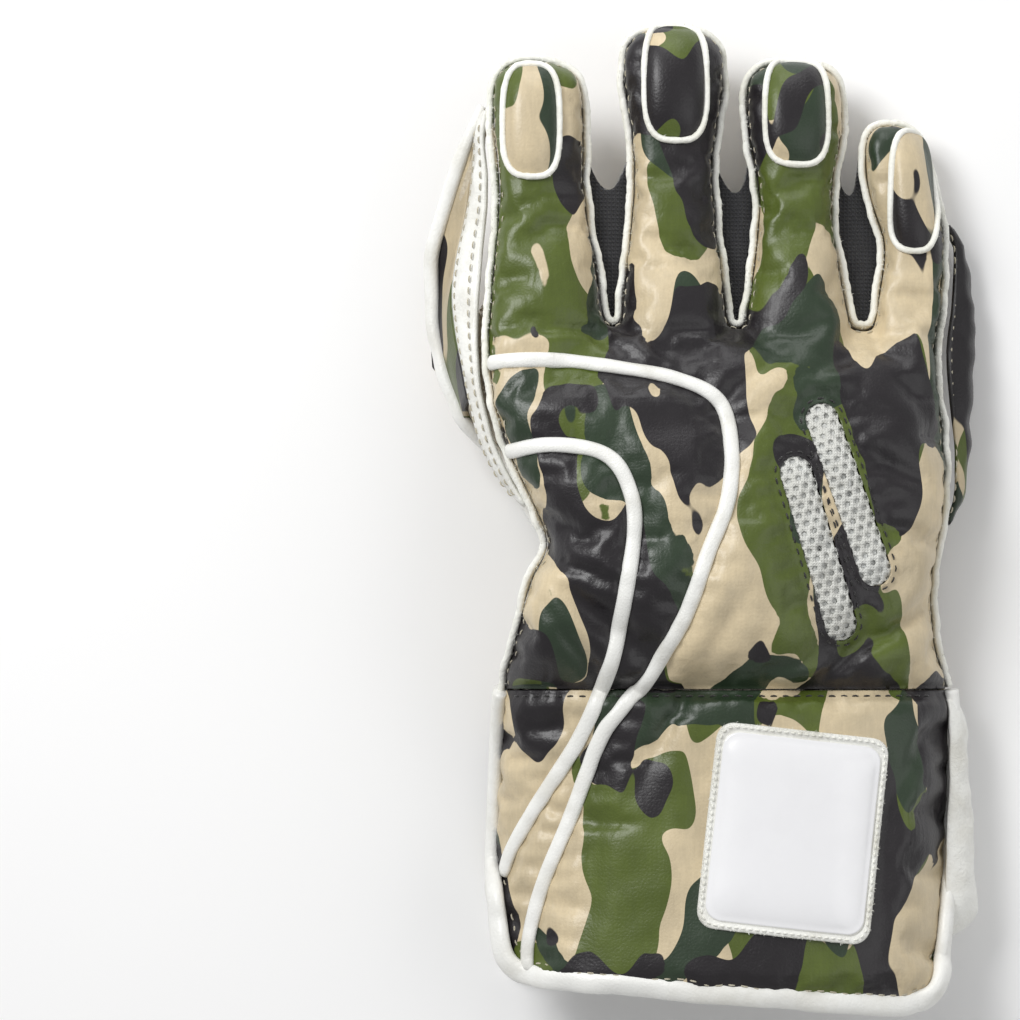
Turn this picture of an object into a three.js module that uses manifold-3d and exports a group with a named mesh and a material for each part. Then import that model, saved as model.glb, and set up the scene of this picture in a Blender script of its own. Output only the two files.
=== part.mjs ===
// Wicketkeeping glove for the right hand, lying palm down. Millimetres.
// +Z points out of the back of the hand, +Y to the fingertips, -X to the thumb.
import * as THREE from 'three';
import { mergeVertices } from 'three/addons/utils/BufferGeometryUtils.js';
import Module from 'manifold-3d';

const wasm = await Module();
wasm.setup();

// Lengths along the glove
const cuffDepth = 93;
const palmLength = 104.5;
const fingerReach = 89.5;

// Widths
const cuffWidth = 138;
const knuckleWidth = 143;

// Heights: the side seam over the palm's underside, the back over the seam, the palm's hollow,
// and how far the index side stands on the folded thumb
const seamHeight = 15;
const backRise = 27;
const palmArch = 6;
const indexLift = 31;

// Leather with its felt and foam, and the clearance between pieces
const wall = 2.2;
const gap = 0.3;
const seamGap = 1;

// Trim
const weltWidth = 2;
const weltHeight = 5;
const pipingWidth = 4.4;
const pipingHeight = 2.4;
const nailPadHeight = 3.4;
const nailPipingWidth = 2.2;
const nailPipingHeight = 2.2;
const bindingWidth = 4.6;
const bindingSwell = 0.6;
const cuffCorner = 13;
const ventWidth = 9.5;
const ventSwell = 0.8;
const patchWidth = 50;
const patchLength = 59;
const patchCorner = 5;
const patchHeight = 2.2;
const patchTurn = -6.5;
const sideWall = 1.6;
const sideDrop = 9;
const gussetWall = 1.5;
const gussetSink = 5;
const gussetReach = 44;
const cuffGussetBulge = 8.5;
const cuffGussetHeight = 22;

// Thumb and web
const thumbWidth = 40;
const thumbThickness = 26;
const webWall = 1.8;
const webBulge = 6;
const webBindingWidth = 4.6;
const palmFacingOverlap = 13;

// Fingers: where each one starts and ends across the knuckles, as shares of half the knuckle width,
// its length past the crotch line, its width at the tip, and its nail cap
const fingers = [
  {
    name: 'index', rootX: -0.73, tipX: -0.777, length: 78.5, width: 30, rise: 11.5,
    nail: { width: 14, length: 31, shift: -2.2, fromTip: 4.5 },
    rows: [
      { along: -0.3, width: 1.24, rise: 1.05, shift: 0 },
      { along: 0, width: 1.24, rise: 1.0, shift: 0 },
      { along: 0.25, width: 1.1, rise: 0.95, shift: 0 },
      { along: 0.5, width: 0.95, rise: 0.92, shift: 0 },
      { along: 0.78, width: 1.0, rise: 1.0, shift: 0 },
      { along: 1, width: 0.97, rise: 0.94, shift: 0 },
    ],
  },
  {
    name: 'middle', rootX: -0.217, tipX: -0.217, length: 89.5, width: 32.8, rise: 12,
    nail: { width: 16, length: 33, shift: 0.2, fromTip: 2 },
    rows: [
      { along: -0.27, width: 1.08, rise: 1.05, shift: 0 },
      { along: 0, width: 1.08, rise: 1.0, shift: 0 },
      { along: 0.3, width: 0.9, rise: 0.94, shift: 0 },
      { along: 0.55, width: 0.82, rise: 0.9, shift: 0 },
      { along: 0.8, width: 1.0, rise: 1.0, shift: 0 },
      { along: 1, width: 0.98, rise: 0.94, shift: 0 },
    ],
  },
  {
    name: 'ring', rootX: 0.292, tipX: 0.28, length: 80.5, width: 32, rise: 12,
    nail: { width: 16.4, length: 29.5, shift: 0, fromTip: 2.5 },
    rows: [
      { along: -0.3, width: 1.14, rise: 1.05, shift: 0 },
      { along: 0, width: 1.1, rise: 1.0, shift: 0 },
      { along: 0.25, width: 0.9, rise: 0.94, shift: 0 },
      { along: 0.5, width: 0.8, rise: 0.9, shift: 0 },
      { along: 0.76, width: 1.0, rise: 1.0, shift: 0 },
      { along: 1, width: 0.98, rise: 0.94, shift: 0 },
    ],
  },
  {
    name: 'little', rootX: 0.72, tipX: 0.7, length: 63, width: 23.4, rise: 10.5,
    nail: { width: 12, length: 34, shift: 4.4, fromTip: 5 },
    rows: [
      { along: -0.42, width: 1.06, rise: 1.15, shift: 0 },
      { along: -0.1, width: 1.0, rise: 1.1, shift: 0 },
      { along: 0.15, width: 0.96, rise: 1.0, shift: 0.12 },
      { along: 0.42, width: 0.92, rise: 0.94, shift: 0.2 },
      { along: 0.66, width: 1.0, rise: 1.0, shift: 0.06 },
      { along: 1, width: 0.9, rise: 0.9, shift: -0.04 },
    ],
  },
];
const fingerTipRound = 12;
const fingerCurve = 2.7;
const palmCurve = 3.2;
const tipCurve = 3;
const leastTaper = 0.4;
const leastRowSpacing = 0.05;

// The hand and cuff from the mouth (-1) over the wrist seam (0) to the crotch line (1).
// left and right are shares of half the width there; rise, drop, arch and lift are shares of
// backRise, seamHeight, palmArch and indexLift
const handRows = [
  { station: -1, left: -1.0, right: 0.945, rise: 1.2, drop: 1, arch: 0, lift: 0 },
  { station: -0.55, left: -1.0, right: 0.955, rise: 1.15, drop: 1, arch: 0, lift: 0 },
  { station: -0.25, left: -0.985, right: 0.975, rise: 1.06, drop: 1, arch: 0, lift: 0.12 },
  { station: 0, left: -0.965, right: 0.965, rise: 0.94, drop: 1, arch: 0.2, lift: 0.5 },
  { station: 0.12, left: -0.925, right: 0.91, rise: 0.98, drop: 1, arch: 0.6, lift: 0.78 },
  { station: 0.3, left: -0.845, right: 0.885, rise: 1.0, drop: 1, arch: 1, lift: 0.97 },
  { station: 0.4, left: -0.775, right: 0.91, rise: 0.98, drop: 1, arch: 1, lift: 1 },
  { station: 0.52, left: -0.84, right: 0.93, rise: 0.94, drop: 1, arch: 1, lift: 1 },
  { station: 0.66, left: -0.93, right: 0.93, rise: 0.86, drop: 1, arch: 1, lift: 1 },
  { station: 0.82, left: -0.985, right: 0.9, rise: 0.66, drop: 0.98, arch: 0.85, lift: 1 },
  { station: 0.94, left: -1.0, right: 0.885, rise: 0.42, drop: 0.95, arch: 0.6, lift: 1 },
  { station: 1, left: -1.0, right: 0.88, rise: 0.2, drop: 0.92, arch: 0.4, lift: 1 },
  { station: 1.3, left: -1.0, right: 0.9, rise: 0.4, drop: 0.86, arch: 0, lift: 0.98 },
  { station: 2, left: -1.0, right: 0.9, rise: 0.4, drop: 0.8, arch: 0, lift: 0.9 },
];
const handCurve = 2.5;
const liftEdge = 0.8;
const liftLimit = 1.2;

// The palm's own depth fades where the finger fronts take over
const palmEndRows = [
  { station: 0.76, depth: 1 },
  { station: 0.87, depth: 0.93 },
  { station: 0.95, depth: 0.8 },
  { station: 1, depth: 0.6 },
];
const palmRootRows = [
  { along: -0.42, depth: 0.8 },
  { along: -0.25, depth: 0.88 },
  { along: 0, depth: 1 },
];
// The underside is pressed flat on the floor by this much more than its depth
const palmPress = 1.05;

// Folds and dents: x as a share of half the knuckle width, reaches in millimetres
const backFolds = [
  { x: 0, station: 0, reachX: 90, reachY: 4, turn: 0, depth: 2.2 },
  { x: -0.52, station: 0.2, reachX: 26, reachY: 5, turn: -38, depth: 3 },
  { x: -0.25, station: -0.12, reachX: 20, reachY: 4, turn: 62, depth: 1.8 },
  { x: 0.7, station: 0.2, reachX: 20, reachY: 6, turn: 20, depth: 2.4 },
  { x: -0.1, station: 0.72, reachX: 46, reachY: 6, turn: 6, depth: 1.4 },
];
const palmFolds = [
  { x: -0.1, station: 0.86, reachX: 48, reachY: 4, turn: -8, depth: 2.6 },
  { x: 0.1, station: 0.6, reachX: 44, reachY: 4.5, turn: 14, depth: 3 },
  { x: 0.2, station: 0.3, reachX: 34, reachY: 5, turn: 26, depth: 2.6 },
];

// Piping routes over the back, as shares of half the knuckle width and as stations
const upperPipingRoute = [
  [-0.98, 0.89], [-0.72, 0.896], [-0.43, 0.872], [-0.22, 0.845], [-0.07, 0.8], [-0.015, 0.73],
  [-0.002, 0.6], [-0.03, 0.49], [-0.1, 0.37], [-0.18, 0.215], [-0.255, 0.12], [-0.35, 0.015],
  [-0.44, -0.06], [-0.52, -0.15], [-0.64, -0.4], [-0.745, -0.6], [-0.8, -0.77], [-0.8, -0.93],
];
const lowerPipingRoute = [
  [-0.92, 0.645], [-0.74, 0.662], [-0.56, 0.65], [-0.46, 0.61], [-0.4, 0.52], [-0.395, 0.42],
  [-0.42, 0.28], [-0.46, 0.13], [-0.51, 0.01], [-0.61, -0.16], [-0.77, -0.36], [-0.88, -0.52],
  [-0.95, -0.7],
];

// Mesh windows: both ends of each slanted pill, in the same shares
const vents = [
  { name: 'vent_upper', from: [0.37, 0.74], to: [0.58, 0.33] },
  { name: 'vent_lower', from: [0.26, 0.59], to: [0.44, 0.18] },
];
const patchPlace = [0.25, -0.44];

// Thumb spine from its root to its tip, folded under the palm: shares of half the knuckle width,
// of the palm's length and of the thumb's width and thickness
const thumbRows = [
  { x: -0.28, station: -0.02, height: 0.92, width: 0.84 },
  { x: -0.3, station: 0.18, height: 0.62, width: 0.96 },
  { x: -0.4, station: 0.42, height: 0.5, width: 1.0 },
  { x: -0.58, station: 0.66, height: 0.5, width: 1.0 },
  { x: -0.77, station: 0.845, height: 0.5, width: 0.97 },
  { x: -0.95, station: 0.99, height: 0.52, width: 0.9 },
  { x: -1.03, station: 1.06, height: 0.54, width: 0.86 },
];
const thumbCollarEnd = 0.3;
const thumbCurve = 2.4;

// Side strips beside the hand: how far each reaches out, in millimetres, and its drop as a share
// of sideDrop, at its stations
const indexSideRows = [
  { station: 0.5, reach: 1.6, drop: 0.5 },
  { station: 0.68, reach: 3.2, drop: 0.7 },
  { station: 0.86, reach: 3.6, drop: 0.8 },
  { station: 1, reach: 6, drop: 0.95 },
  { station: 1.15, reach: 7.4, drop: 1 },
  { station: 1.35, reach: 5.6, drop: 0.9 },
  { station: 1.62, reach: 2, drop: 0.6 },
  { station: 1.7, reach: 1.4, drop: 0.5 },
];
const littleSideRows = [
  { station: 0.46, reach: 1.2, drop: 0.9 },
  { station: 0.7, reach: 4.6, drop: 1.25 },
  { station: 0.9, reach: 8, drop: 1.3 },
  { station: 1.05, reach: 7.4, drop: 1.25 },
  { station: 1.2, reach: 4.4, drop: 1.2 },
  { station: 1.36, reach: 1.4, drop: 1 },
];

// Places along the glove

const halfKnuckles = knuckleWidth / 2;
const crotchY = cuffDepth + palmLength;
const shellInset = -(weltWidth + gap);

function yAt(station) {
  if (station < 0) return cuffDepth * (1 + station);
  if (station < 1) return cuffDepth + palmLength * station;
  return crotchY + fingerReach * (station - 1);
}

function stationAt(y) {
  if (y < cuffDepth) return y / cuffDepth - 1;
  if (y < crotchY) return (y - cuffDepth) / palmLength;
  return 1 + (y - crotchY) / fingerReach;
}

// Smooth value of one column of a table, held level past its ends
function column(rows, key, at, name) {
  if (at <= rows[0][key]) return rows[0][name];
  const last = rows[rows.length - 1];
  if (at >= last[key]) return last[name];
  const upper = rows.findIndex((row) => row[key] > at);
  const low = rows[upper - 1];
  const high = rows[upper];
  const share = (at - low[key]) / (high[key] - low[key]);
  const before = rows[Math.max(upper - 2, 0)];
  const after = rows[Math.min(upper + 1, rows.length - 1)];
  const span = high[key] - low[key];
  const slopeLow = span * (high[name] - before[name]) / Math.max(high[key] - before[key], span);
  const slopeHigh = span * (after[name] - low[name]) / Math.max(after[key] - low[key], span);
  const s2 = share * share;
  const s3 = s2 * share;
  return (2 * s3 - 3 * s2 + 1) * low[name] + (s3 - 2 * s2 + share) * slopeLow
    + (3 * s2 - 2 * s3) * high[name] + (s3 - s2) * slopeHigh;
}

function halfWidthAt(station) {
  const share = THREE.MathUtils.clamp(station, 0, 1);
  return THREE.MathUtils.lerp(cuffWidth, knuckleWidth, share) / 2;
}

function handEdge(station, side) {
  return column(handRows, 'station', station, side) * halfWidthAt(station);
}

// Height of the palm's underside over the floor
function floorAt(x, station) {
  const reach = (liftEdge + 1) * halfKnuckles;
  const across = THREE.MathUtils.clamp((liftEdge * halfKnuckles - x) / reach, 0, liftLimit);
  return palmArch * column(handRows, 'station', station, 'arch')
    + indexLift * across * column(handRows, 'station', station, 'lift');
}

function seamAt(x, y) {
  const station = stationAt(y);
  return floorAt(x, station) + seamHeight * column(handRows, 'station', station, 'drop');
}

function foldAt(folds, x, y) {
  let total = 0;
  for (const fold of folds) {
    const turn = THREE.MathUtils.degToRad(fold.turn);
    const dx = x - fold.x * halfKnuckles;
    const dy = y - yAt(fold.station);
    const along = (dx * Math.cos(turn) + dy * Math.sin(turn)) / fold.reachX;
    const across = (dy * Math.cos(turn) - dx * Math.sin(turn)) / fold.reachY;
    total += fold.depth * Math.exp(-along * along - across * across);
  }
  return total;
}

// Solids

function closed(points, faces) {
  let volume = 0;
  for (let k = 0; k < faces.length; k += 3) {
    const [a, b, c] = [points[faces[k]], points[faces[k + 1]], points[faces[k + 2]]];
    volume += a.dot(new THREE.Vector3().crossVectors(b, c));
  }
  if (volume < 0) faces.reverse();
  const geometry = new THREE.BufferGeometry();
  const values = points.flatMap((point) => [point.x, point.y, point.z]);
  geometry.setAttribute('position', new THREE.Float32BufferAttribute(values, 3));
  geometry.setIndex(faces);
  return geometry;
}

// Closed solid through rings of as many points each
function loft(rings) {
  const count = rings[0].length;
  const faces = [];
  for (let ring = 0; ring + 1 < rings.length; ring += 1) {
    for (let k = 0; k < count; k += 1) {
      const a = ring * count + k;
      const b = ring * count + (k + 1) % count;
      faces.push(a, b, b + count, a, b + count, a + count);
    }
  }
  const last = (rings.length - 1) * count;
  for (let k = 1; k + 1 < count; k += 1) {
    faces.push(0, k + 1, k, last, last + k, last + k + 1);
  }
  return toSolid(closed(rings.flat(), faces));
}

function toSolid(geometry) {
  const bare = geometry.clone();
  bare.deleteAttribute('normal');
  bare.deleteAttribute('uv');
  const merged = mergeVertices(bare, 1e-4);
  return new wasm.Manifold(new wasm.Mesh({
    numProp: 3,
    vertProperties: new Float32Array(merged.attributes.position.array),
    triVerts: new Uint32Array(merged.index.array),
  }));
}

function toGeometry(solid) {
  const mesh = solid.getMesh();
  const geometry = new THREE.BufferGeometry();
  geometry.setAttribute('position', new THREE.BufferAttribute(mesh.vertProperties, 3));
  geometry.setIndex(new THREE.BufferAttribute(mesh.triVerts, 1));
  const flat = geometry.toNonIndexed();
  flat.computeVertexNormals();
  return flat;
}

function union(solids) {
  return solids.reduce((sum, solid) => sum.add(solid));
}

// The largest of the bodies that a cut leaves
function mainBody(solid) {
  const bodies = solid.decompose();
  return bodies.reduce((best, body) => (body.volume() > best.volume() ? body : best));
}

function prism(outline, low, high) {
  const shape = new THREE.Shape(outline.map(([x, y]) => new THREE.Vector2(x, y)));
  const geometry = new THREE.ExtrudeGeometry(shape, { depth: high - low, bevelEnabled: false });
  geometry.translate(0, 0, low);
  return toSolid(geometry);
}

const skyHeight = 2 * (indexLift + seamHeight + backRise);
const farReach = 2 * (cuffDepth + palmLength + fingerReach);

function slice(fromY, toY) {
  const side = farReach;
  return prism([[-side, fromY], [side, fromY], [side, toY], [-side, toY]], -skyHeight, skyHeight);
}

// Hand and fingers as half shells: side 1 is the back, side -1 the palm

const backArcs = { hand: 11, finger: 7 };
const palmArcs = { hand: 11, finger: 5 };
const innerArcs = { hand: 9, finger: 5 };
const handStations = [-1.06, -0.7, -0.4, -0.14, 0, 0.1, 0.2, 0.3, 0.4, 0.52, 0.64, 0.76, 0.87, 0.95, 1];
const tipShares = [0, 0.55, 0.85, 0.98];

// One cross section: a superellipse arch over the seam, with a straight base just past it
function archRing({ left, right, y, rise, curve, side, steps, grow, skirt, folds }) {
  const middle = (left + right) / 2;
  const half = (right - left) / 2 + grow;
  const ring = [];
  for (let k = 0; k <= steps; k += 1) {
    const angle = Math.PI * k / steps;
    const across = Math.sign(Math.cos(angle)) * Math.abs(Math.cos(angle)) ** (2 / curve);
    const up = Math.sin(angle) ** (2 / curve);
    const x = middle + half * across;
    const height = (rise + grow) * up - foldAt(folds, x, y) * up;
    const z = seamAt(x, y) + side * (seamGap / 2 + height);
    ring.push(new THREE.Vector3(x, y, Math.max(z, -grow, 0)));
  }
  for (const x of [middle - half, middle + half]) {
    ring.push(new THREE.Vector3(x, y, seamAt(x, y) + side * (seamGap / 2 - skirt)));
  }
  return ring;
}

function arcCount(side, grow) {
  if (grow < 0) return innerArcs;
  return side > 0 ? backArcs : palmArcs;
}

function handRings(side, grow, skirt) {
  return handStations.map((station) => {
    const rise = side > 0
      ? backRise * column(handRows, 'station', station, 'rise')
      : seamHeight * palmPress * column(handRows, 'station', station, 'drop')
        * column(palmEndRows, 'station', station, 'depth');
    return archRing({
      left: handEdge(station, 'left') - shellInset,
      right: handEdge(station, 'right') + shellInset,
      y: yAt(station) + (station === 1 ? grow : 0),
      rise,
      curve: side > 0 ? handCurve : palmCurve,
      side,
      steps: arcCount(side, grow).hand,
      grow,
      skirt,
      folds: side > 0 ? backFolds : palmFolds,
    });
  });
}

function fingerCentre(finger, along) {
  return THREE.MathUtils.lerp(finger.rootX, finger.tipX, along) * halfKnuckles;
}

// Stations of a finger from inside the hand to its tip, where it rounds off
function fingerStations(finger, grow) {
  const roundStart = 1 - fingerTipRound / finger.length;
  const body = finger.rows.map((row) => row.along).filter((along) => along < roundStart - leastRowSpacing);
  const stations = body.map((along) => ({ along, taper: 1, y: crotchY + along * finger.length }));
  for (const share of tipShares) {
    const along = roundStart + share * (1 - roundStart);
    stations.push({
      along,
      taper: Math.max(1 - share ** tipCurve, 0) ** (1 / tipCurve),
      y: crotchY + along * finger.length + grow * share,
    });
  }
  return stations;
}

function fingerEdges(finger, station) {
  const shift = column(finger.rows, 'along', station.along, 'shift') * finger.width;
  const centre = fingerCentre(finger, station.along) + shift;
  const half = column(finger.rows, 'along', station.along, 'width') * finger.width / 2;
  return { centre, half };
}

function fingerRings(finger, side, grow, skirt) {
  return fingerStations(finger, grow + shellInset).map((station) => {
    const { centre, half } = fingerEdges(finger, station);
    const inner = (half + shellInset) * station.taper;
    const rise = side > 0
      ? finger.rise * column(finger.rows, 'along', station.along, 'rise')
      : seamHeight * palmPress * column(handRows, 'station', stationAt(station.y), 'drop')
        * column(palmRootRows, 'along', station.along, 'depth');
    return archRing({
      left: centre - inner,
      right: centre + inner,
      y: station.y,
      rise: rise * station.taper,
      curve: side > 0 ? fingerCurve : palmCurve,
      side,
      steps: arcCount(side, grow).finger,
      grow: grow * Math.max(station.taper, leastTaper),
      skirt,
      folds: [],
    });
  });
}

const volumes = new Map();

function volume(side, grow, skirt = 0) {
  const key = `${side} ${grow} ${skirt}`;
  if (!volumes.has(key)) {
    const lofts = [handRings(side, grow, skirt), ...fingers.map((f) => fingerRings(f, side, grow, skirt))];
    volumes.set(key, union(lofts.map(loft)));
  }
  return volumes.get(key);
}

const cutSkirt = 1;

function layer(side, outer, inner) {
  return volume(side, outer).subtract(volume(side, inner, cutSkirt));
}

// Plan of the hand and fingers as an upright slab that follows the seam
function slab(grow, low, high) {
  const box = (left, right, y) => [[left, low], [right, low], [right, high], [left, high]]
    .map(([x, z]) => new THREE.Vector3(x, y, seamAt(x, y) + z));
  const hand = handStations.map((station) => box(
    handEdge(station, 'left') - shellInset - grow,
    handEdge(station, 'right') + shellInset + grow,
    yAt(station) + (station === 1 ? grow : 0),
  ));
  const stalls = fingers.map((finger) => fingerStations(finger, grow + shellInset).map((station) => {
    const { centre, half } = fingerEdges(finger, station);
    const reach = (half + shellInset) * station.taper + grow * Math.max(station.taper, leastTaper);
    return box(centre - reach, centre + reach, station.y);
  }));
  return union([hand, ...stalls].map(loft));
}

// Cuff plan: slanted mouth and rounded corners
const mouthSlant = 8;
const cuffFlare = 2;

function cuffPlan(inset, topY) {
  const left = handEdge(-1, 'left') - shellInset + inset;
  const right = handEdge(-1, 'right') + shellInset - inset;
  const corner = cuffCorner - inset;
  const lowLeft = mouthSlant + inset;
  const lowRight = inset;
  const wide = cuffWidth;
  const outline = [];
  const steps = 5;
  const cornerAt = (x, y, start) => {
    for (let k = 0; k <= steps; k += 1) {
      const angle = start + Math.PI / 2 * k / steps;
      outline.push([x + corner * Math.cos(angle), y + corner * Math.sin(angle)]);
    }
  };
  cornerAt(left + corner, lowLeft + corner, Math.PI);
  cornerAt(right - corner, lowRight + corner, 1.5 * Math.PI);
  outline.push([right + (inset > 0 ? 0 : wide), (topY + lowRight) / 2]);
  outline.push([right + (inset > 0 ? cuffFlare : wide), topY]);
  outline.push([left - (inset > 0 ? 0 : wide), topY]);
  return prism(outline, -skyHeight, skyHeight);
}

// Band of a plan strip along a route, from side to side
function routePoints(route, count) {
  const curve = new THREE.CatmullRomCurve3(route.map(([share, station]) => (
    new THREE.Vector3(share * halfKnuckles, yAt(station), 0))));
  return curve.getSpacedPoints(count);
}

function stripOutline(points, width) {
  const leftSide = [];
  const rightSide = [];
  points.forEach((point, k) => {
    const next = points[Math.min(k + 1, points.length - 1)];
    const last = points[Math.max(k - 1, 0)];
    const along = next.clone().sub(last).normalize();
    leftSide.push([point.x - along.y * width / 2, point.y + along.x * width / 2]);
    rightSide.push([point.x + along.y * width / 2, point.y - along.x * width / 2]);
  });
  return [...leftSide, ...rightSide.reverse()];
}

function ovalOutline(x, y, halfWidth, halfLength, power) {
  const count = 10;
  return Array.from({ length: count }, (_, k) => {
    const angle = 2 * Math.PI * (k + 0.5) / count;
    const c = Math.cos(angle);
    const s = Math.sin(angle);
    return [
      x + halfWidth * Math.sign(c) * Math.abs(c) ** (2 / power),
      y + halfLength * Math.sign(s) * Math.abs(s) ** (2 / power),
    ];
  });
}

function pillOutline(from, to, width) {
  const along = Math.atan2(to.y - from.y, to.x - from.x);
  const outline = [];
  const steps = 5;
  for (const [end, start] of [[to, along - Math.PI / 2], [from, along + Math.PI / 2]]) {
    for (let k = 0; k <= steps; k += 1) {
      const angle = start + Math.PI * k / steps;
      outline.push([end.x + width / 2 * Math.cos(angle), end.y + width / 2 * Math.sin(angle)]);
    }
  }
  return outline;
}

// Thin closed sheet over a grid of points, its near face moved out by offset
function sheet(grid, thickness, offset) {
  const rows = grid.length;
  const cols = grid[0].length;
  const normalAt = (i, j) => {
    const u = grid[Math.min(i + 1, rows - 1)][j].clone().sub(grid[Math.max(i - 1, 0)][j]);
    const v = grid[i][Math.min(j + 1, cols - 1)].clone().sub(grid[i][Math.max(j - 1, 0)]);
    return u.cross(v).normalize();
  };
  const rings = grid.map((row, i) => {
    const near = row.map((p, j) => p.clone().addScaledVector(normalAt(i, j), offset));
    const far = row.map((p, j) => p.clone().addScaledVector(normalAt(i, j), offset + thickness));
    return [...near, ...far.reverse()];
  });
  const count = 2 * cols;
  const faces = [];
  for (let i = 0; i + 1 < rows; i += 1) {
    for (let k = 0; k < count; k += 1) {
      const a = i * count + k;
      const b = i * count + (k + 1) % count;
      faces.push(a, b, b + count, a, b + count, a + count);
    }
  }
  const last = (rows - 1) * count;
  for (let j = 0; j + 1 < cols; j += 1) {
    const [a, b, c, d] = [j, j + 1, count - 2 - j, count - 1 - j];
    faces.push(a, c, b, a, d, c, last + a, last + b, last + c, last + a, last + c, last + d);
  }
  return toSolid(closed(rings.flat(), faces));
}

// Thumb: shares of its length where it has a cross section, rounds off and ends

const thumbSteps = 12;
const thumbShares = [0, 0.16, 0.32, 0.46, 0.6, 0.73];
const thumbTipShares = [0.86, 0.94, 1];
const thumbTipEnd = 0.97;
const thumbHollowEnd = 0.99;
const thumbStart = 0.02;
const thumbSeam = 0.004;

function thumbFrame(share) {
  const at = (name, s) => column(thumbRows.map((row, k) => ({ ...row, share: k / (thumbRows.length - 1) })),
    'share', s, name);
  const point = (s) => new THREE.Vector3(at('x', s) * halfKnuckles, yAt(at('station', s)), 0);
  const step = 0.02;
  const ahead = point(Math.min(share + step, 1)).sub(point(Math.max(share - step, 0))).normalize();
  return {
    centre: point(share),
    side: new THREE.Vector3(ahead.y, -ahead.x, 0),
    height: at('height', share) * thumbThickness,
    half: at('width', share) * thumbWidth / 2,
  };
}

function thumbTaper(share) {
  const start = thumbTipShares[0];
  if (share <= start) return 1;
  const past = (share - start) / (1 - start) * thumbTipEnd;
  return Math.max(1 - past ** tipCurve, 0) ** (1 / tipCurve);
}

function thumbRing(share, grow) {
  const { centre, side, height, half } = thumbFrame(share);
  const taper = thumbTaper(share);
  const ring = [];
  for (let k = 0; k < thumbSteps; k += 1) {
    const angle = 2 * Math.PI * k / thumbSteps;
    const c = Math.cos(angle);
    const s = Math.sin(angle);
    const across = Math.sign(c) * Math.abs(c) ** (2 / thumbCurve) * (half * taper + grow);
    const up = Math.sign(s) * Math.abs(s) ** (2 / thumbCurve) * (thumbThickness / 2 * taper + grow);
    const point = centre.clone().addScaledVector(side, across);
    point.z = Math.max(height + up, -grow);
    ring.push(point);
  }
  return ring;
}

function thumbVolume(from, to, grow) {
  const inside = [...thumbShares, ...thumbTipShares].filter((share) => share > from && share < to);
  return loft([from, ...inside, to].map((share) => thumbRing(share, grow)));
}

const thumbInner = thumbVolume(0, thumbHollowEnd, -wall);
const palmClear = volume(-1, gap);
const backClear = volume(1, gap);
const thumbClear = thumbVolume(0, 1, gap);
const thumbSplit = thumbThickness / 2;

function thumbShell(from, to) {
  return thumbVolume(from, to, 0).subtract(thumbInner).subtract(palmClear).subtract(backClear);
}

// Seam welt and everything outside it
const weltLow = -weltHeight / 2;
const weltHigh = weltHeight / 2;

const edgeWelt = slab(gap + weltWidth, weltLow, weltHigh)
  .subtract(slab(gap, 2 * weltLow, 2 * weltHigh))
  .intersect(slice(cuffDepth + gap, farReach));
const weltClear = slab(2 * gap + weltWidth, weltLow - gap, weltHigh + gap);

// Strips that hang down beside the hand: each leaves the welt, reaches out and drops
const indexSideProfile = [
  { across: 0, out: 0, down: 0.06 },
  { across: 0.5, out: 0.68, down: 0.42 },
  { across: 1, out: 1, down: 1 },
];
const littleSideProfile = [
  { across: 0, out: 0, down: 0.06 },
  { across: 0.3, out: 0.72, down: 0.24 },
  { across: 0.62, out: 1, down: 0.62 },
  { across: 1, out: 0.5, down: 1 },
];
const sideStations = 8;
const fingerBlendStart = 0.8;

function sideGrid(rows, profile, side, finger) {
  const first = rows[0].station;
  const span = rows[rows.length - 1].station - first;
  return Array.from({ length: sideStations + 1 }, (_, k) => {
    const station = first + span * k / sideStations;
    const y = yAt(station);
    const along = (y - crotchY) / finger.length;
    const { centre, half } = fingerEdges(finger, { along });
    const fingerX = centre + side * half;
    const handX = handEdge(Math.min(station, 1), side < 0 ? 'left' : 'right');
    const blend = THREE.MathUtils.smoothstep(station, fingerBlendStart, 1);
    const edge = THREE.MathUtils.lerp(handX, fingerX, blend) + side * 2 * gap;
    const reach = column(rows, 'station', station, 'reach');
    const drop = sideDrop * column(rows, 'station', station, 'drop');
    return profile.map(({ out, down }) => (
      new THREE.Vector3(edge + side * reach * out, y, seamAt(edge, y) - drop * down)));
  });
}

const indexGrid = sideGrid(indexSideRows, indexSideProfile, -1, fingers[0]);
const littleGrid = sideGrid(littleSideRows, littleSideProfile, 1, fingers[3]);
const indexSide = sheet(indexGrid, sideWall, 0).subtract(weltClear).subtract(palmClear);
const littleSide = sheet(littleGrid, -sideWall, 0).subtract(weltClear).subtract(palmClear);

// Catching web between the index finger's side strip and the thumb
const webRows = 5;
const webCols = 5;
const webFirstRow = 2;
const webHeadOut = 0.2;
const webFootOut = 0.6;
const webFootUp = 3;

function thumbEdge(share, out, up) {
  const { centre, side, height, half } = thumbFrame(share);
  const point = centre.clone().addScaledVector(side, -(half * thumbTaper(share) + out));
  point.z = height + up;
  return point;
}

const webThumbFrom = 0.66;
const webThumbTo = 0.9;

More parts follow.
